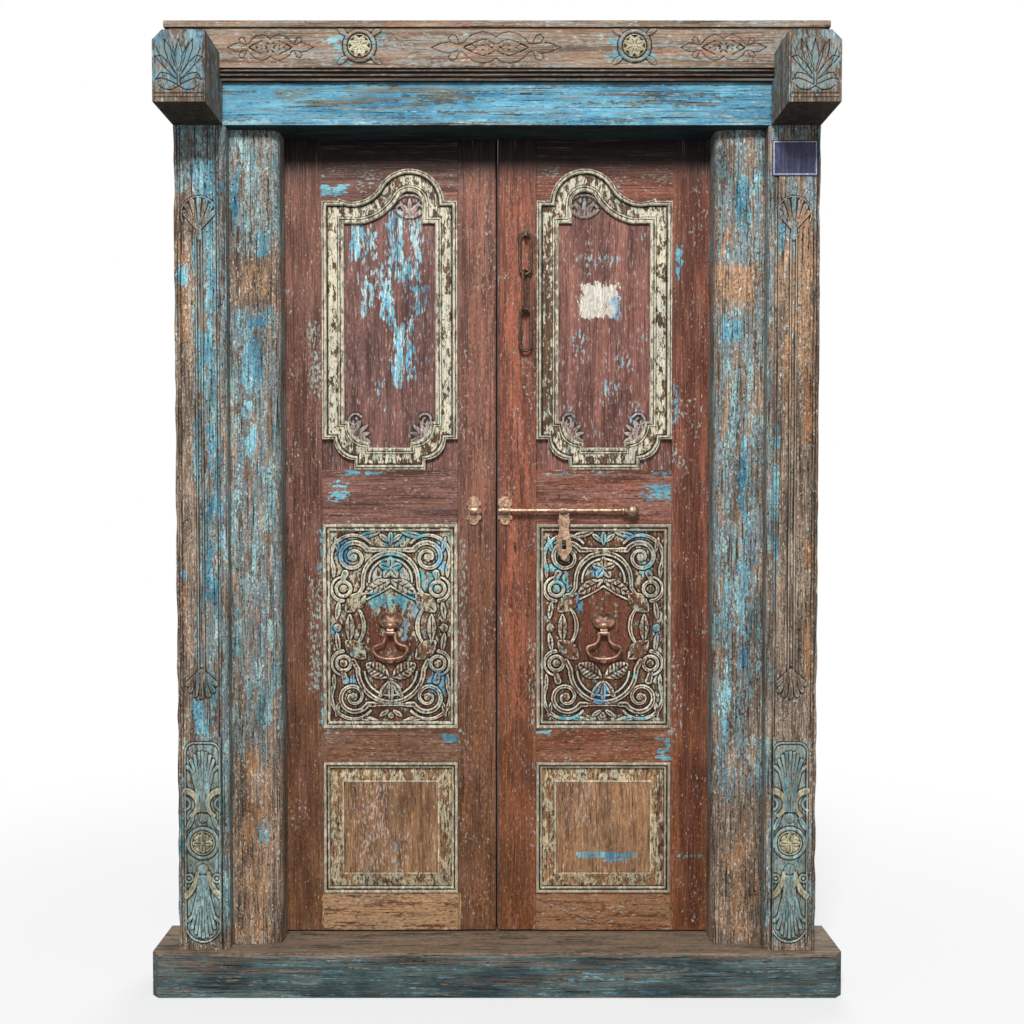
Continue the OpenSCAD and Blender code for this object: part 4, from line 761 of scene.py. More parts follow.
def leaf_paint(name, run, seed, dark, light):
    """Red-brown paint of the stiles or rails, with the grain along run."""
    skin = Finish(name, run, seed)
    skin.wood(dark, light)
    old = skin.add("MapRange", skin.z, 1.0, 0.25, 0.0, 0.75)
    brown = skin.add("MixRGB", skin.flake, "#4a2e1b", "#9a6c40")
    skin.over(old, brown)
    skin.coat(("#a06c58", "#7c5a50"), (20, 150), 0.5, 0.1, blend=0.75)
    skin.coat(("#4b2c22", "#5c392c"), (24, 130), 0.545, 0.1, blend=0.65)
    skin.coat(("#b27660", "#9c6550"), (16, 200), 0.43, 0.12,
              [(-78, -2, 1030, 1840, 50), (2, 84, 560, 1840, 70)], blend=0.8)
    skin.coat(("#ad6a38", "#93603a"), (16, 110), 0.53, 0.1, [(-500, 500, 100, 1000, 200)], 0.1,
              blend=0.65)
    rails = [(s * LEAF_MID - 160, s * LEAF_MID + 160, z0, z1, 16)
             for s in (-1, 1) for z0, z1 in ((96, 186), (1020, 1136))]
    skin.coat(("#d4aa80", "#b88f68"), (16, 120), 0.39, 0.1, [rails[0]], blend=0.9)
    skin.coat(("#a28a6c", "#917659"), (16, 120), 0.41, 0.1, [rails[2]], blend=0.85)
    skin.coat(("#9a7660", "#8a6a55"), (16, 120), 0.44, 0.1, [
        (-399, -79, 480, 552, 16), (79, 399, 480, 552, 16)], blend=0.6)
    skin.coat(("#54291a", "#442214"), (20, 160), 0.42, 0.1, [(396, 480, 90, 1800, 60)], blend=0.7)
    skin.coat(("#5a3420", "#6e4327"), (20, 160), 0.43, 0.1, [(-480, -396, 90, 900, 60)], blend=0.5)
    skin.coat(("#9a6440", "#835234"), (16, 140), 0.46, 0.1, [(-82, -2, 120, 980, 50)], blend=0.55)
    skin.coat(("#8c6a64", "#7e5d56"), (14, 120), 0.45, 0.1, [rails[1]], blend=0.5)
    skin.coat(("#a98780", "#987a74"), (14, 120), 0.44, 0.1, [rails[3]], blend=0.6)
    warm_right(skin, (1.16, 0.9, 0.76))
    edge = [(s * LEAF_MID - 168, s * LEAF_MID + 168, z0, z1, 36)
            for s in (-1, 1) for z0, z1 in ((1126, 1850), (545, 1032))]
    cluster = skin.add("MapRange", skin.blots(60, 90, 2.2), 0.42, 0.62, -0.1, 0.04)
    flecks = skin.coat(("#c3b6a4", "#9fb0ae"), (4.5, 8), 0.55, 0.05, edge, 0.04, cluster, 0.9)
    skin.coat(("#c9a58d", "#b08a72"), (3.6, 9), 0.585, 0.05, blend=0.6)
    skin.coat(("#241610", "#3a251c"), (4.5, 10), 0.56, 0.06, blend=0.85)
    blue = skin.coat(("#5aa0b8", "#79b4bf"), (9, 16), 0.46, 0.04, [
        (-381, -329, 1066, 1112, 26), (322, 390, 1066, 1110, 26), (-122, -86, 520, 554, 14),
        (356, 392, 484, 540, 16), (397, 466, 262, 274, 12), (-402, -386, 900, 1010, 18),
        (86, 125, 543, 555, 12), (-345, -250, 1126, 1139, 12), (-400, -388, 560, 640, 14),
        (392, 408, 1240, 1330, 18), (110, 390, 1126, 1136, 20), (-394, -330, 1744, 1774, 20),
        (396, 416, 1560, 1640, 16)], 0.2)
    skin.coat(("#b5bfae", "#97b0ac"), (5, 12), 0.5, 0.05, [
        (-424, -392, 1300, 1470, 24), (-86, -66, 700, 980, 24), (-424, -392, 640, 900, 20),
        (70, 88, 560, 760, 20)], 0.1, blend=0.85)
    skin.coat(("#20130d", "#35221a"), (2.2, 150), 0.565, 0.06)
    # Painted shadow of the lintel across the top of the leaves, on the front only.
    lintel_shadow = skin.add("MapRange", skin.z, 1.752, 1.838, 0.0, 0.96, interpolation_type="SMOOTHSTEP")
    lintel_shadow = skin.add("Math", lintel_shadow, skin.front, operation="MULTIPLY")
    skin.over(lintel_shadow, "#070303")
    return skin.done(0.62, skin.add("Math", blue, flecks, operation="ADD"), 0.4, 0.5, 0.35)


stile_paint = leaf_paint("red_brown_stiles", "z", 101.0, "#4f3027", "#8a5b4b")
rail_paint = leaf_paint("red_brown_rails", "x", 113.0, "#57372d", "#966455")
for side in ("left", "right"):
    for name in ("hinge_stile", "meeting_stile"):
        dress(side + "_" + name, stile_paint, 1.6)
    for name in ("top_rail", "lock_rail", "frieze_rail", "bottom_rail"):
        dress(side + "_" + name, rail_paint, 0.8)


# Meeting bead: a slim half-round of wood, let into the edge of the left leaf and set back in the gap. It
# closes the gap between the leaves, and its near-black colour is painted shade of the gap.
def band(here, there, count):
    """Faces between two closed rings of points, whose numbers begin at here and at there."""
    return [[here + i, here + (i + 1) % count, there + (i + 1) % count, there + i] for i in range(count)]


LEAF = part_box("left_hinge_stile")[0][1] / MM
leaf_low, leaf_high = (c[2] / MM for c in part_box("left_meeting_stile"))
nose = [(-3.0, LEAF + 12)] + [(-2.0 + 3.8 * math.cos(t), LEAF + 18 + 6 * math.sin(t))
                              for t in np.linspace(-math.pi / 2, math.pi / 2, 9)] + [(-3.0, LEAF + 24)]
count = len(nose)
points = [(x, y, z) for z in (leaf_low + 2, leaf_high - 2) for x, y in nose]
faces = band(0, count, count)
faces += [list(range(count))[::-1], list(range(count, 2 * count))]
# Near-black wood as painted shade inside the gap between the leaves.
gap = Finish("meeting_gap_painted_shade", "z", 109.0)
gap.wood("#0f0907", "#24160f")
bead = make_piece("meeting_bead", points, faces, gap.done(0.8, None, 0.3, 0.2), "left_leaf", None)

# Upper panels: plain boards with small shells in the lower corners, under an ogee-headed moulding.
# Blue paint runs down the left one, and a pale patch and flecks are left on the right one.
PANEL_IN, PANEL_OUT, SHOULDER, UPPER = 88.0, 391.0, 1737.0, 1139.0
PANEL_FACE, PANEL_DEEP, PANEL_FIT = LEAF + 10, 16, 0.2
SIDES = ((-1, "left"), (1, "right"))
field = Finish("upper_panel_paint", "z", 127.0)
field.wood("#573630", "#8a6158")
field.coat(("#8f6d66", "#7d5149"), (18, 80), 0.5, 0.1, blend=0.6)
warm_right(field, (1.22, 1.1, 1.02))
field.coat(("#b7aaa3", "#9a7f76"), (4, 24), 0.56, 0.05)
runs = [(-328, -294, 1604, 1708, 24), (-296, -268, 1604, 1690, 34), (-252, -200, 1590, 1732, 40),
        (-200, -164, 1590, 1700, 36), (-308, -283, 1476, 1567, 30), (-270, -228, 1466, 1570, 30),
        (-194, -157, 1478, 1556, 34), (-238, -202, 1318, 1466, 30), (-206, -184, 1340, 1490, 22),
        (-271, -256, 1290, 1338, 18), (-300, -170, 1560, 1600, 40), (-290, -268, 1500, 1560, 20)]
blue = field.coat(("#5fa6c0", "#8abcc2"), (8, 40), 0.475, 0.04, runs, 0.16)
field.coat(("#62b2d4", "#7ac0d6"), (10, 36), 0.45, 0.03, [
    (-326, -298, 1606, 1700, 22), (-262, -236, 1490, 1566, 24), (-242, -226, 1600, 1660, 16),
    (-204, -188, 1350, 1480, 14), (-232, -210, 1330, 1440, 20)], 0.2)
field.coat(("#dadcd4", "#b5c8c8"), (4.5, 26), 0.515, 0.04, runs, 0.16)
field.coat(("#a9bcbd", "#86a9b5"), (6, 18), 0.515, 0.04, [
    (171, 209, 1708, 1756, 30), (176, 280, 1586, 1626, 30), (160, 209, 1392, 1456, 30),
    (254, 306, 1360, 1404, 26), (229, 281, 1284, 1354, 40), (290, 332, 1208, 1294, 26),
    (138, 186, 1214, 1294, 40), (312, 338, 1650, 1692, 24), (312, 338, 1404, 1448, 24)], 0.16)
pale = field.coat(("#e6dfd2", "#d5cdbf"), (16, 26), 0.37, 0.03, [(184, 272, 1476, 1556, 30)], 0.3)
field.coat(("#8db4cf", "#a9c0cc"), (8, 14), 0.43, 0.05, [(252, 276, 1474, 1530, 16)], 0.25)
field.coat(("#281915", "#3e2a25"), (2.2, 90), 0.56, 0.05)
shell = field.add("Attribute", attribute_name="tone", pick=2)
shell = field.add("Math", shell, field.add("MapRange", field.flake, 0.4, 0.58, 0.0, 0.6),
                  operation="MULTIPLY")
field.over(shell, "#b5b0a8")
# Dirt and painted shade in the hollows, and a pale colour on proud edges, partly wear and partly painted
# highlight.
field.cavities("#1c1210", "#b7b0a6", 0.9, 0.6)
field_paint = field.done(0.62, field.add("Math", blue, pale, operation="ADD"), 0.4, 0.32, 0.4)


def cream_paint(name, seed, level, brown, extra=None):
    """Cream oil paint on the mouldings, flaked to the brown under it, with dirt and painted shade in the
    quirks and pale proud edges that are partly wear and partly a painted highlight.
    """
    gesso = Finish(name, "z", seed)
    gesso.wood(*brown)
    paint = gesso.coat(("#eae3cd", "#d2caae"), (9, 20), level, 0.05, extra=extra and extra(gesso))
    gesso.coat(("#b3c4ab", "#94b5ad"), (14, 26), 0.56, 0.06, blend=0.8)
    gesso.coat(("#3a281d", "#553c2c"), (3.5, 9), 0.575, 0.05)
    gesso.coat(("#2e2018", "#4a3426"), (1.8, 50), 0.57, 0.05)
    # Dirt and painted shade in the quirks, and a pale colour on proud edges, partly wear and partly painted
    # highlight.
    gesso.cavities("#1a110b", "#e3dac2", 0.95, 0.5)
    return gesso.done(0.66, paint)


def ogee(d):
    """Outline of the upper moulding, moved inwards by d: ogee arch, straight sides, stepped round feet."""
    width = PANEL_OUT - PANEL_IN
    arch_r, dip_r, ear = 0.257 * width, 0.224 * width, 0.122 * width
    low_x, high_x = PANEL_IN + PANEL_FIT + d, PANEL_OUT - PANEL_FIT - d
    c = np.array([PANEL_IN + 0.353 * width, SHOULDER - 7])
    r = arch_r - PANEL_FIT - d
    dip_c = c + (arch_r + dip_r) * np.array([math.cos(math.radians(30)), math.sin(math.radians(30))])
    dip = dip_r + PANEL_FIT + d
    riser = PANEL_OUT - ear - d
    dip_end = 270 + math.degrees(math.asin((riser - dip_c[0]) / dip))
    arch_end = 180 - max(0.0, math.degrees(math.asin((7 - d) / max(r, 7 + d))))
    flat, base = SHOULDER - PANEL_FIT - d, UPPER + PANEL_FIT + d
    foot_ear, rise = 26 * (1 - 0.6 * d / 50), 22 * (1 - 0.45 * d / 50)
    ear_z = base + rise + 46
    return np.concatenate([
        [(low_x, ear_z), (low_x, flat), (c[0] + r * math.cos(math.radians(arch_end)), flat)],
        arc(c, r, arch_end, 30, 40), arc(dip_c, dip, 210, dip_end, 24)[1:],
        [(riser, flat), (high_x, flat), (high_x, ear_z)],
        arc((high_x - foot_ear - 46, ear_z), 46, 0, -90, 16),
        [(high_x - foot_ear - 46, base), (low_x + foot_ear + 46, base)],
        arc((low_x + foot_ear + 46, ear_z), 46, 270, 180, 16)])


def square(low, high):
    """Outline of a square panel space, moved inwards by d."""
    def at(d):
        a, b = PANEL_IN + PANEL_FIT + d, PANEL_OUT - PANEL_FIT - d
        return np.array([(a, low + PANEL_FIT + d), (a, high - PANEL_FIT - d), (b, high - PANEL_FIT - d),
                         (b, low + PANEL_FIT + d)])
    return at


def moulding(name, node_name, outline, profile, side, material, body):
    """Closed ring swept along an outline; profile lists (inset, height over the panel)."""
    loops, hollows = [], []
    inset, height = np.array(profile, float).T
    for d, high in profile:
        line = outline(d)
        loops.append(np.stack([line[:, 0] * side, np.full(len(line), PANEL_FACE - high), line[:, 1]], -1))
        near = np.abs(inset - d) < 3.2
        hollows += [(high - height[near].mean()) * 0.8] * len(line)
    count = len(loops[0])
    faces = []
    for row in range(len(loops)):
        after = (row + 1) % len(loops)
        quads = band(row * count, after * count, count)
        faces += quads if side < 0 else [quad[::-1] for quad in quads]
    make_piece(name, np.concatenate(loops), faces, material, body, node_name, {"cavity": hollows}, 32)


def worn_ends(gesso):
    """Less paint on the arch and the foot than on the straight sides, and little by the chain."""
    high = gesso.add("MapRange", gesso.z, 1.66, 1.72, 0.025, -0.01)
    low = gesso.add("MapRange", gesso.z, 1.25, 1.19, 0.0, -0.03)
    ends = gesso.add("Math", high, low, operation="ADD")
    return gesso.add("Math", gesso.zone([(80, 142, 1225, 1660, 70)]), -0.08, ends,
                     operation="MULTIPLY_ADD")


upper_cream = cream_paint("upper_cream_paint", 157.0, 0.465, ("#43301f", "#6d5038"), worn_ends)
UPPER_PROFILE = [(0, 0), (0, 10.5), (0.7, 12.2), (2.0, 12.8), (3.2, 12.2), (3.8, 10.2), (4.6, 13.2),
                 (6.0, 14.7), (7.6, 15), (9.4, 14.2), (10.6, 12), (11.2, 8.0), (12.2, 7.0), (13.4, 8.2),
                 (18, 7.2), (25, 6.7), (31, 7.0), (34.4, 8.0), (35.2, 6.0), (36.2, 8.4), (37.8, 9.4),
                 (39.8, 8.8), (40.8, 6.2), (41.8, 8.8), (43.4, 10), (46, 10.2), (48, 9.4), (49.4, 7.2),
                 (50, 4), (50, 0)]
for side, name in SIDES:
    moulding(name + "_upper_moulding_swept", name + "_upper_moulding", ogee, UPPER_PROFILE, side,
             upper_cream, name + "_leaf")
    cut = Carving(stations((PANEL_IN + PANEL_FIT, PANEL_OUT - PANEL_FIT, 2.2)),
                  stations((UPPER + PANEL_FIT, 1290, 2.0), (1290, 1640, 12.0), (1640, 1819, 2.2)), side)
    for way, at_u in ((1, 150.0), (-1, 329.0)):
        cut.stroke(spiral((at_u + way * 10, 1250), 16, 5, 90 - way * 60, 90 + way * 330, 26), 5, 4, 3.4,
                   tone=1.0)
        cut.fan((at_u + way * 6, 1212), 90 - way * 50, 100, 5, 44, 11, 3.2, 1.0)
        cut.stroke([(at_u + way * 2, 1236), (at_u + way * 22, 1222), (at_u + way * 44, 1200)], 5, 4, 3.2,
                   tone=1.0)
    cut.stroke(spiral((178, 1716), 15, 5, 150, -200, 22), 5, 4, 3.2, tone=1.0)
    cut.stroke(spiral((212, 1716), 15, 5, 30, 380, 22), 5, 4, 3.2, tone=1.0)
    cut.fan((195, 1700), 90, 120, 5, 46, 11, 3.0, 1.0)
    cut.stroke(arc((195, 1712), 40, 20, 160, 18), 4, 4, 3.0, tone=1.0)
    points, faces, marks = cut.board(PANEL_FACE, PANEL_FACE + PANEL_DEEP)
    make_piece(name + "_upper_panel_carved", points, faces, field_paint, name + "_leaf",
               name + "_upper_panel", marks)

# Carved panels: deep relief with volutes in the corners, arches, and leaves round a plain middle.
# Cream paint lies on the relief and in places on the ground, with blue and green left by older coats.
CARVED_LOW, CARVED_HIGH = 557.0, 1018.0
carved = Finish("carved_panel_paint", "z", 199.0)
carved.wood("#4a2c1c", "#85583a")
raised = carved.add("Attribute", attribute_name="raise", pick=2)
top = carved.add("MapRange", raised, 1.0, 4.5, -0.02, 0.02)
worn = carved.add("MapRange", carved.z, 0.66, 0.9, -0.07, 0.02)
right = carved.add("MapRange", carved.x, -0.05, 0.05, 0.01, -0.06)
extra = carved.add("Math", carved.add("Math", top, worn, operation="ADD"), right, operation="ADD")
paint = carved.coat(("#d4cbae", "#b3a98d"), (13, 18), 0.475, 0.05, extra=extra, front=True)
carved.coat(("#98b9ae", "#83a8a6"), (18, 24), 0.55, 0.05, extra=top, blend=0.85, front=True)
carved.coat(("#2e1d14", "#4d3424"), (4, 8), 0.545, 0.05, blend=0.85, front=True)
carved.coat(("#7b4430", "#693b2a"), (20, 40), 0.43, 0.08, [
    (-302, -262, 756, 834, 20), (-288, -204, 694, 768, 24), (168, 318, 690, 880, 50)], 0.2)
# A near-white colour on the proud edges of the carving, partly wear and partly painted highlight.
carved.cavities("#150c07", "#f0e8d2", 0.0, 0.85)
carved.coat(("#d3d2c2", "#b8beb0"), (10, 14), 0.46, 0.05, [
    (-292, -190, 878, 925, 30), (-255, -215, 616, 668, 24), (352, 374, 600, 836, 16),
    (110, 368, 572, 590, 16), (226, 300, 982, 1003, 16), (300, 368, 930, 990, 40)], 0.2)
carved.coat(("#64a9b8", "#8bc0be"), (12, 16), 0.44, 0.05, [
    (-252, -224, 964, 1000, 20), (-308, -272, 986, 1006, 18), (-218, -154, 978, 1004, 20),
    (-262, -210, 908, 954, 16), (-176, -134, 868, 912, 24), (-294, -182, 828, 868, 26),
    (222, 252, 966, 1002, 20), (128, 166, 860, 906, 22), (106, 148, 908, 930, 18),
    (320, 352, 902, 936, 22), (346, 366, 766, 790, 14), (304, 324, 666, 684, 12),
    (136, 190, 568, 586, 16), (288, 340, 568, 586, 16), (100, 152, 942, 990, 30)], 0.2)
carved.coat(("#619fbf", "#86b2c6"), (10, 14), 0.44, 0.05, [
    (-360, -324, 914, 980, 30), (-142, -112, 914, 984, 24), (-157, -116, 632, 694, 26),
    (-344, -318, 652, 678, 18), (-374, -352, 766, 790, 14), (286, 342, 978, 1002, 18),
    (210, 242, 898, 926, 14), (176, 198, 822, 862, 18), (212, 254, 610, 662, 20)], 0.2)
carved.coat(("#8ba8b5", "#a3b6ba"), (10, 14), 0.44, 0.05,
            [(-217, -196, 752, 808, 14), (-200, -168, 800, 850, 20)], 0.2)
# Dirt and painted shade in the hollows of the carving.
carved.cavities("#150c07", None, 0.97)
carved_paint = carved.done(0.64, paint, 0.4, mottle=0.4)


def worn_right(gesso):
    """The frame of the right leaf has lost more of its paint."""
    return gesso.add("MapRange", gesso.x, -0.05, 0.05, 0.0, -0.055)


carved_cream = cream_paint("carved_cream_paint", 167.0, 0.48, ("#3f2a1c", "#6d4c35"), worn_right)
CARVED_PROFILE = [(0, 0), (0, 9.5), (0.8, 12.4), (2.4, 13.8), (4.6, 14), (6.6, 13), (7.8, 11), (8.3, 7.6),
                  (9, 7.0), (10, 8.4), (11.6, 8.8), (13.6, 8.3), (15.2, 7.4), (16, 5), (16, 0)]
for side, name in SIDES:
    moulding(name + "_carved_moulding_swept", name + "_carved_moulding", square(CARVED_LOW, CARVED_HIGH),
             CARVED_PROFILE, side, carved_cream, name + "_leaf")
    cut = Carving(stations((PANEL_IN + PANEL_FIT, 103, 5.0), (103, 376, 1.3),
                           (376, PANEL_OUT - PANEL_FIT, 5.0)),
                  stations((CARVED_LOW + PANEL_FIT, 572, 5.0), (572, 1003, 1.3),
                           (1003, CARVED_HIGH - PANEL_FIT, 5.0)), side)
    mid_u, mid_z = 239.5, 787.5
    cut.u -= mid_u
    cut.us = cut.us - mid_u
    cut.z -= mid_z
    cut.zs = cut.zs - mid_z
    for way in (-1, 1):
        for up, vol_z, bar_z in ((1, 155, 172), (-1, -160, -177)):
            vol = np.array([way * 84.0, vol_z])
            start = np.array([way * 38.0, bar_z])
            turn = 180 if way > 0 else 0
            line = spiral(vol, 36, 9, turn - way * up * 28, turn - way * up * 560, 60)
            cut.stroke(np.concatenate([[start], line]), 13, 7, 6.0, 1.6)
            cut.stroke([(0, bar_z), start], 9, 10, 5.2, 1.2)
            hook = arc(vol, 50, 90 * up + way * up * 50, 90 * up - way * up * 115, 22)
            cut.stroke(hook, 6, 11, 5.0, 1.0)
            cut.ball(vol, 10, 6.2)
            cut.leaf(vol + (-way * 12, up * 46), 90 * up + way * up * 76, 52, 17, 5.0)
            cut.leaf(vol + (way * 40, up * 46), -90 * up - way * up * 12, 36, 12, 4.6)
            eye = np.array([way * 106.0, up * 84.0])
            cut.ring(eye, 16, 9, 5.8)
            cut.ball(eye, 10, 5.6)
            cut.stroke([vol + (way * 18, -up * 36), eye + (way * 2, up * 18)], 17, 11, 5.4, 0.8)
            curl = arc(eye, 27, 90 * up - way * up * 10, 90 * up - way * up * 175, 16)
            cut.stroke(curl, 5, 10, 5.0, 0.8)
            cut.ball((way * 80, up * 54), 19, 5.2)
            cut.leaf((way * 56, up * 74), -42 * up if way > 0 else 180 + 42 * up, 62, 40, 5.4)
            side_turn = 180 if way > 0 else 0
            cut.stroke(arc((way * 122, 0), 62, side_turn, side_turn - way * up * 48, 12), 11, 6, 5.4, 1.0)
            cut.leaf((way * 122, up * 14), 90 * up + way * up * 8, 44, 14, 4.8)
            cut.leaf((way * 128, up * 108), 90 * up, 34, 11, 4.4)
        cut.leaf((way * 92, -34), 90, 62, 22, 5.6)
        cut.ball((way * 120, -4), 10, 5.6)
        arch = np.concatenate([arc((0, 103), 62, 90, 90 - way * 90, 18),
                               [(way * 63, 86), (way * 72, 72), (way * 88, 68)]])
        cut.stroke(arch, 13, 8, 6.0, 1.8)
        cut.stroke(arc((0, 103), 48, 90, 90 - way * 95, 16), 6, 5, 4.8)
        cut.leaf((way * 1, 104), -28 if way > 0 else 208, 64, 31, 5.8, 5)
        cut.stroke([(0, 90), (way * 30, 72), (way * 54, 60)], 5, 5, 4.6)
        cup = np.concatenate([[(way * 84, -78)], arc((0, -98), 74, -90 + way * 90, -90, 20)])
        cut.stroke(cup, 12, 11, 6.0, 1.7)
        cut.stroke(arc((0, -98), 59, -90 + way * 84, -90, 18), 5, 5, 4.6)
        cut.leaf((way * 3, -116), 30 if way > 0 else 150, 62, 38, 5.8, 7)
        cut.leaf((way * 3, -124), -58 if way > 0 else 238, 46, 17, 5.2)
        cut.leaf((way * 4, 190), 90 - way * 50, 28, 13, 5.0)
        cut.leaf((way * 4, -190), -90 + way * 58, 26, 12, 4.8)
    for turn in range(18, 378, 72):
        cut.leaf((0, 131), turn, 27, 20, 5.8)
    cut.ball((0, 131), 6, 6.4)
    cut.leaf((0, 182), 90, 32, 15, 5.2)
    cut.leaf((0, -122), -90, 50, 16, 5.4)
    cut.ball((0, -202), 8, 4.8)
    cut.h = np.where((np.abs(cut.u) < 134.5) & (np.abs(cut.z) < 213.5), cut.h, 0)
    cut.h = np.where((np.hypot(cut.u, cut.z - 10) < 32) | (np.hypot(cut.u, cut.z + 74) < 12), 0, cut.h)
    chips = rng.normal(0, 1, cut.h.shape)
    for _ in range(3):
        chips = (chips + np.roll(chips, 1, 0) + np.roll(chips, -1, 0)
                 + np.roll(chips, 1, 1) + np.roll(chips, -1, 1)) / 5
    cut.h += 0.28 * chips / chips.std()
    cut.z += mid_z
    points, faces, marks = cut.board(PANEL_FACE, PANEL_FACE + PANEL_DEEP)
    make_piece(name + "_carved_panel_cut", points, faces, carved_paint, name + "_leaf",
               name + "_carved_panel", marks, 75)

# Lower panels: raised fields with a wide bevel, framed by a slim moulding.
# The field is bare brown, cream paint is left on the bevel with a painted shadow line along the field's
# edge, and a blue smear crosses the right one.
LOWER_LOW, LOWER_HIGH = 184.0, 481.0
lower = Finish("lower_panel_paint", "z", 181.0)
lower.wood("#815b3e", "#b48b66", (2.4, 60))
lower.coat(("#a0755a", "#b0825a"), (26, 70), 0.5, 0.08, blend=0.7)
lower.coat(("#6d4733", "#7c563e"), (20, 50), 0.54, 0.08, blend=0.7)
lower.coat(("#d3c4ba", "#c0aca0"), (3.6, 12), 0.515, 0.05, [
    (-318, -236, 200, 440, 50), (-222, -202, 210, 320, 20), (150, 230, 330, 440, 50)], 0.07, blend=0.8)
lower.coat(("#8fa3ab", "#a5b0ae"), (6, 18), 0.47, 0.05, [(-240, -220, 200, 300, 14)], 0.2, blend=0.8)
lower.coat(("#c2936c", "#b0835f"), (30, 60), 0.44, 0.1, [(136, 342, 200, 466, 30)], blend=0.4)
FIELD_EDGE, LINE_SOFT = 0.1118, 0.00004
bevel = lower.add("MapRange", lower.y, 0.1115, FIELD_EDGE, -0.4, 0.0)
paint = lower.coat(("#e2d6b6", "#c9b68e"), (15, 30), 0.475, 0.03, extra=bevel, blend=0.95, front=True)
lower.coat(("#33231a", "#513a28"), (5, 16), 0.525, 0.04, extra=bevel, blend=0.9, front=True)
# A cream line of paint at the top of the bevel, and a dark painted shadow line along the edge of the field.
for start, stop, tone in ((FIELD_EDGE, 0.1126, "#dccfae"), (0.1116, FIELD_EDGE, "#2b1c13")):
    line = lower.add("MapRange", lower.y, start - LINE_SOFT, start + LINE_SOFT)
    line = lower.add("Math", line, lower.add("MapRange", lower.y, stop + LINE_SOFT, stop - LINE_SOFT),
                     operation="MULTIPLY")
    line = lower.add("Math", line, lower.add("MapRange", lower.flake, 0.36, 0.5, 0.0, 0.9),
                     operation="MULTIPLY")
    lower.over(lower.add("Math", line, lower.front, operation="MULTIPLY"), tone)
lower.coat(("#5f9fba", "#84b2bd"), (44, 7), 0.42, 0.05,
           [(178, 318, 262, 277, 8), (240, 296, 255, 264, 8)], 0.2)
lower.coat(("#20140d", "#3a281c"), (2.2, 60), 0.555, 0.05)
lower_paint = lower.done(0.66, paint, 0.5, 0.35, 0.4)
lower_cream = cream_paint("lower_cream_paint", 173.0, 0.5, ("#4f3826", "#86633f"), worn_right)
LOWER_PROFILE = [(0, 0), (0, 9.5), (0.7, 12.4), (2.2, 13.8), (4.2, 14), (6, 12.8), (6.8, 10.6),
                 (7.3, 7.6), (8, 7.2), (9, 8.4), (11, 8.6), (13, 7.6), (14, 5.5), (14, 0)]
for side, name in SIDES:
    dress(name + "_lower_panel", lower_paint, 0.6)
    moulding(name + "_lower_moulding_swept", name + "_lower_moulding", square(LOWER_LOW, LOWER_HIGH),
             LOWER_PROFILE, side, lower_cream, name + "_leaf")

# Knockers: a cast iron boss like a shell with a ball and a lug, a stirrup ring hung on the lug's pin,
# and a stud to strike on. The ring is one round bar bent to shape.
# Hands have rubbed them to a warm brown with a soft shine.
knocker_iron = iron("rubbed_knocker_iron", "#6b5143", "#bd967d", 0.5, 0.36, 251.0, 22)
RING_HALF, RING_DROP, RING_BAR = 40.0, 60.0, 3.0
LUG_DROP, LUG_HALF, LUG_R, PIN_PROUD = 24.0, 7.5, 5.5, 17
ring_tree, begin, end = grow_tree("bent_bar", {"Bar radius": RING_BAR * MM})
path = add(ring_tree, "MeshToCurve", begin["Geometry"])
soft = add(ring_tree, "CurveSplineType", path, spline_type="CATMULL_ROM")
even = add(ring_tree, "ResampleCurve", soft, Count=120)
round_bar = add(ring_tree, "CurvePrimitiveCircle", 14, Radius=begin["Bar radius"])
sweep = add(ring_tree, "CurveToMesh", even, round_bar, Fill_Caps=True)
real = add(ring_tree, "RealizeInstances", sweep)
ring_tree.links.new(add(ring_tree, "SetMaterial", real, Material=knocker_iron), end)
half_line = [(0.27, 0.0), (0.27, -0.12), (0.33, -0.3), (0.52, -0.42), (0.86, -0.5), (0.95, -0.58),
             (0.93, -0.68), (0.76, -0.84), (0.42, -0.94), (0.0, -0.97)]


def cast_boss(at_x, at_z):
    """Shell with a rolled rim, a ball in front of it and the lug under it; heights are over the panel."""
    turns = np.radians(np.arange(0, 360, 5))
    lean = np.degrees(np.arcsin(np.sin(turns)))
    edge = np.interp(lean, [-90, -60, -30, 0, 30, 55, 70, 80, 90],
                     [15, 17, 23, 27, 28.5, 28, 25.5, 21.5, 17.5])
    shell, ball = [], []
    for share, high in ((1, 0), (0.985, 5), (0.94, 10), (0.87, 12), (0.79, 10), (0.66, 6), (0.5, 5),
                        (0.3, 6), (0.06, 7)):
        rib = 1 + 0.1 * np.cos(8 * turns) * (0.4 < share < 0.8)
        out = share * edge
        shell.append(np.stack([out * np.cos(turns), high * rib, out * np.sin(turns)], -1))
    for rise in np.radians(np.linspace(-60, 86, 12)):
        swell = math.cos(rise) * (1 + 0.1 * np.cos(2 * turns))
        proud = np.full(len(turns), 10.4 + 10.4 * math.sin(rise))
        ball.append(np.stack([12 * swell * np.cos(turns), proud, 10 * swell * np.sin(turns) - 7], -1))
    points, faces = [], []
    for rows in (shell, ball):
        start, count = len(points), len(turns)
        points += np.concatenate(rows).tolist()
        for row in range(len(rows) - 1):
            faces += band(start + row * count, start + (row + 1) * count, count)
        last = start + (len(rows) - 1) * count
        faces += [list(range(last, last + count)), list(range(start, start + count))[::-1]]
    eye = arc((PIN_PROUD, -LUG_DROP), LUG_R, -90, 90, 12).tolist()
    outline = [(0, -LUG_DROP - LUG_R)] + eye + [(12, -10), (8, 0), (0, 0)]
    start, count = len(points), len(outline)
    points += [(u, high, up) for u in (-LUG_HALF, LUG_HALF) for high, up in outline]
    faces += band(start + count, start, count)
    faces += [list(range(start, start + count)), list(range(start + count, start + 2 * count))[::-1]]
    return [(at_x + u, PANEL_FACE - high, at_z + up) for u, high, up in points], faces


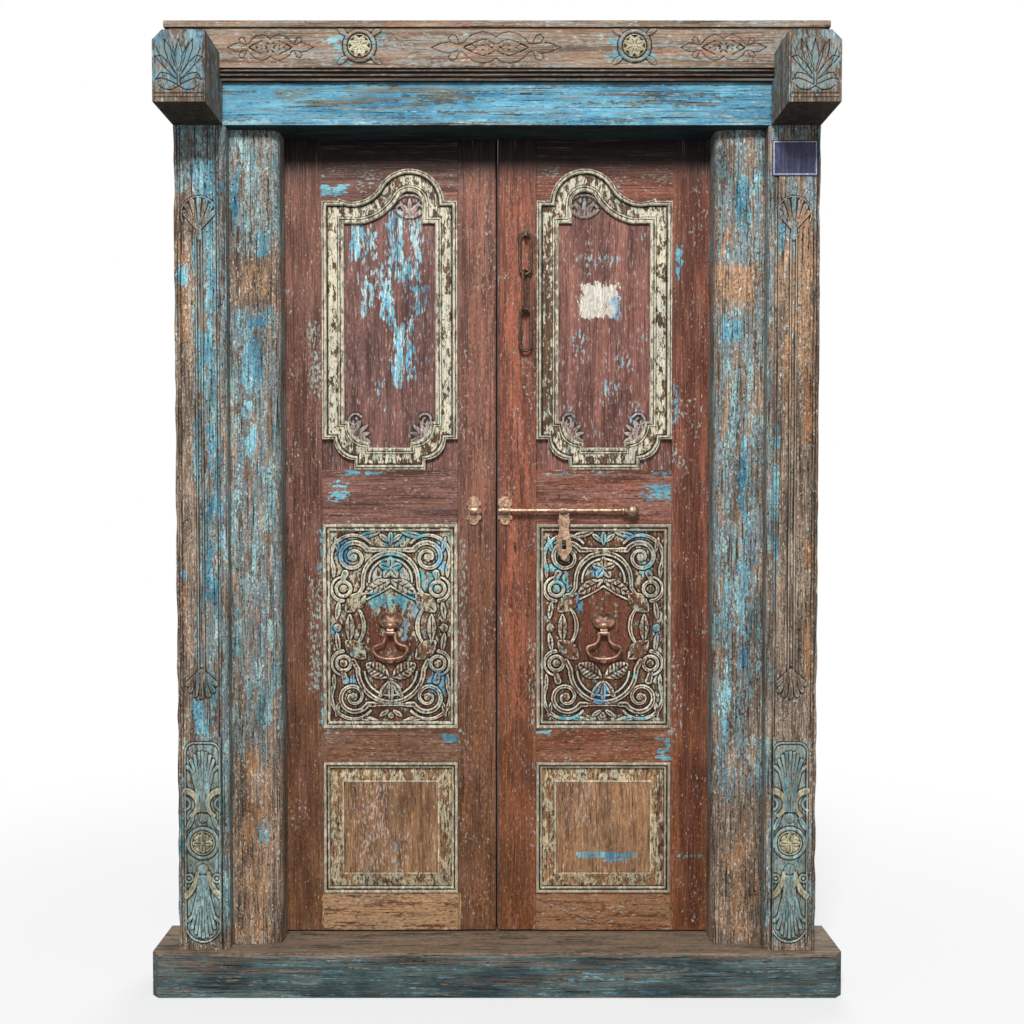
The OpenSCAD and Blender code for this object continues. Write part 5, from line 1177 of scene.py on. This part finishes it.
for side, name in SIDES:
    dress(name + "_strike_stud", knocker_iron, 0.6)
    ring_low, ring_high = (np.array(c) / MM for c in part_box(name + "_knocker_ring"))
    middle = (ring_low + ring_high) / 2
    pin = (middle[0], middle[1], ring_low[2] + 1.02 * RING_DROP)
    points, faces = cast_boss(pin[0], pin[2] + LUG_DROP)
    make_piece(name + "_knocker_boss_cast", points, faces, knocker_iron, name + "_leaf",
               name + "_knocker_boss")
    across = [(pin[0] + way * RING_HALF * u, pin[1], pin[2] + RING_DROP * v)
              for way, line in ((-1, half_line), (1, half_line[-2::-1])) for u, v in line]
    ring = grown(name + "_knocker_stirrup", across, ring_tree, knocker_iron,
                 {"Bar radius": RING_BAR * MM}, True)
    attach(ring, name + "_knocker")
    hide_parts(name + "_knocker_ring")

# Bolt: a turned rod in a keeper and a guide with lobed backs, with a slotted hasp hung on it over a staple.
# Forged, and rubbed bright by hands.
for name in ("bolt_keeper", "bolt_guide", "bolt_rod", "bolt_hasp"):
    dress(name, bolt_iron, 0.7)
dress("hasp_staple", old_iron, 1.0)

# Chain: three long links of iron wire, bent and closed by a smith.
# They hang on a staple driven into the right leaf.
dress("chain_staple", old_iron, 1.0)
for name in ("chain_link_1", "chain_link_2", "chain_link_3"):
    dress(name, old_iron, 0)

# Floor: plain and pale, for the view only.
# It shows the part's shadow near it, and is white to the camera further off.
floor_mesh = bpy.data.meshes.new("floor")
floor_mesh.from_pydata([(-15, -15, 0), (15, -15, 0), (15, 15, 0), (-15, 15, 0)], [], [(0, 1, 2, 3)])
floor = bpy.data.objects.new("floor", floor_mesh)
pale_floor = bpy.data.materials.new("pale_floor")
pale_floor.use_nodes = True
tree = pale_floor.node_tree
tree.nodes.clear()
rays = add(tree, "LightPath", pick=None)
away = add(tree, "VectorMath", add(tree, "TexCoord", pick=3), operation="LENGTH", pick=1)
far = add(tree, "MapRange", away, 0.7, 2.6, interpolation_type="SMOOTHSTEP")
matt = add(tree, "BsdfDiffuse", (0.42, 0.42, 0.42, 1.0))
glow = add(tree, "Emission", (1.0, 1.0, 1.0, 1.0), 0.56)
near_floor = add(tree, "AddShader", matt, glow)
far_floor = add(tree, "Emission", (1.0, 1.0, 1.0, 1.0), 1.0)
shown = add(tree, "MixShader", far, near_floor, far_floor)
dull = add(tree, "BsdfDiffuse", (0.3, 0.3, 0.3, 1.0))
both = add(tree, "MixShader", rays[0], dull, shown)
add(tree, "OutputMaterial", both, pick=None)
floor_mesh.materials.append(pale_floor)
scene.collection.objects.link(floor)

# Studio: a dim even room that shows white behind the part.
# A key light stands high in front, with a soft fill and a back light.
world = bpy.data.worlds.new("room")
world.use_nodes = True
scene.world = world
sky = world.node_tree
sky.nodes.clear()
rays = add(sky, "LightPath", pick=None)
seen = add(sky, "Math", rays["Is Camera Ray"], rays["Is Transmission Ray"], operation="MAXIMUM")
seen = add(sky, "Math", seen, rays["Is Glossy Ray"], operation="MAXIMUM")
even = add(sky, "Background", (0.94, 0.97, 1.0, 1.0), 0.26)
white = add(sky, "Background", (1.0, 1.0, 1.0, 1.0), 1.0)
add(sky, "OutputWorld", add(sky, "MixShader", seen, even, white), pick=None)
for name, place, size, power in [
    ("key_light", (-0.35, -3.6, 3.9), 0.9, 178.0),
    ("fill_light", (1.2, -4.6, 1.4), 3.0, 26.0),
    ("back_light", (1.4, 4.2, 3.0), 3.0, 110.0),
]:
    lamp = bpy.data.lights.new(name, "AREA")
    lamp.size = size
    lamp.energy = power
    light = bpy.data.objects.new(name, lamp)
    light.location = place
    turn = np.array((0.0, 0.1, 1.1)) - np.array(place)
    light.rotation_euler = (math.atan2(math.hypot(turn[0], turn[1]), -turn[2]), 0.0,
                            math.atan2(turn[1], turn[0]) - math.pi / 2)
    scene.collection.objects.link(light)
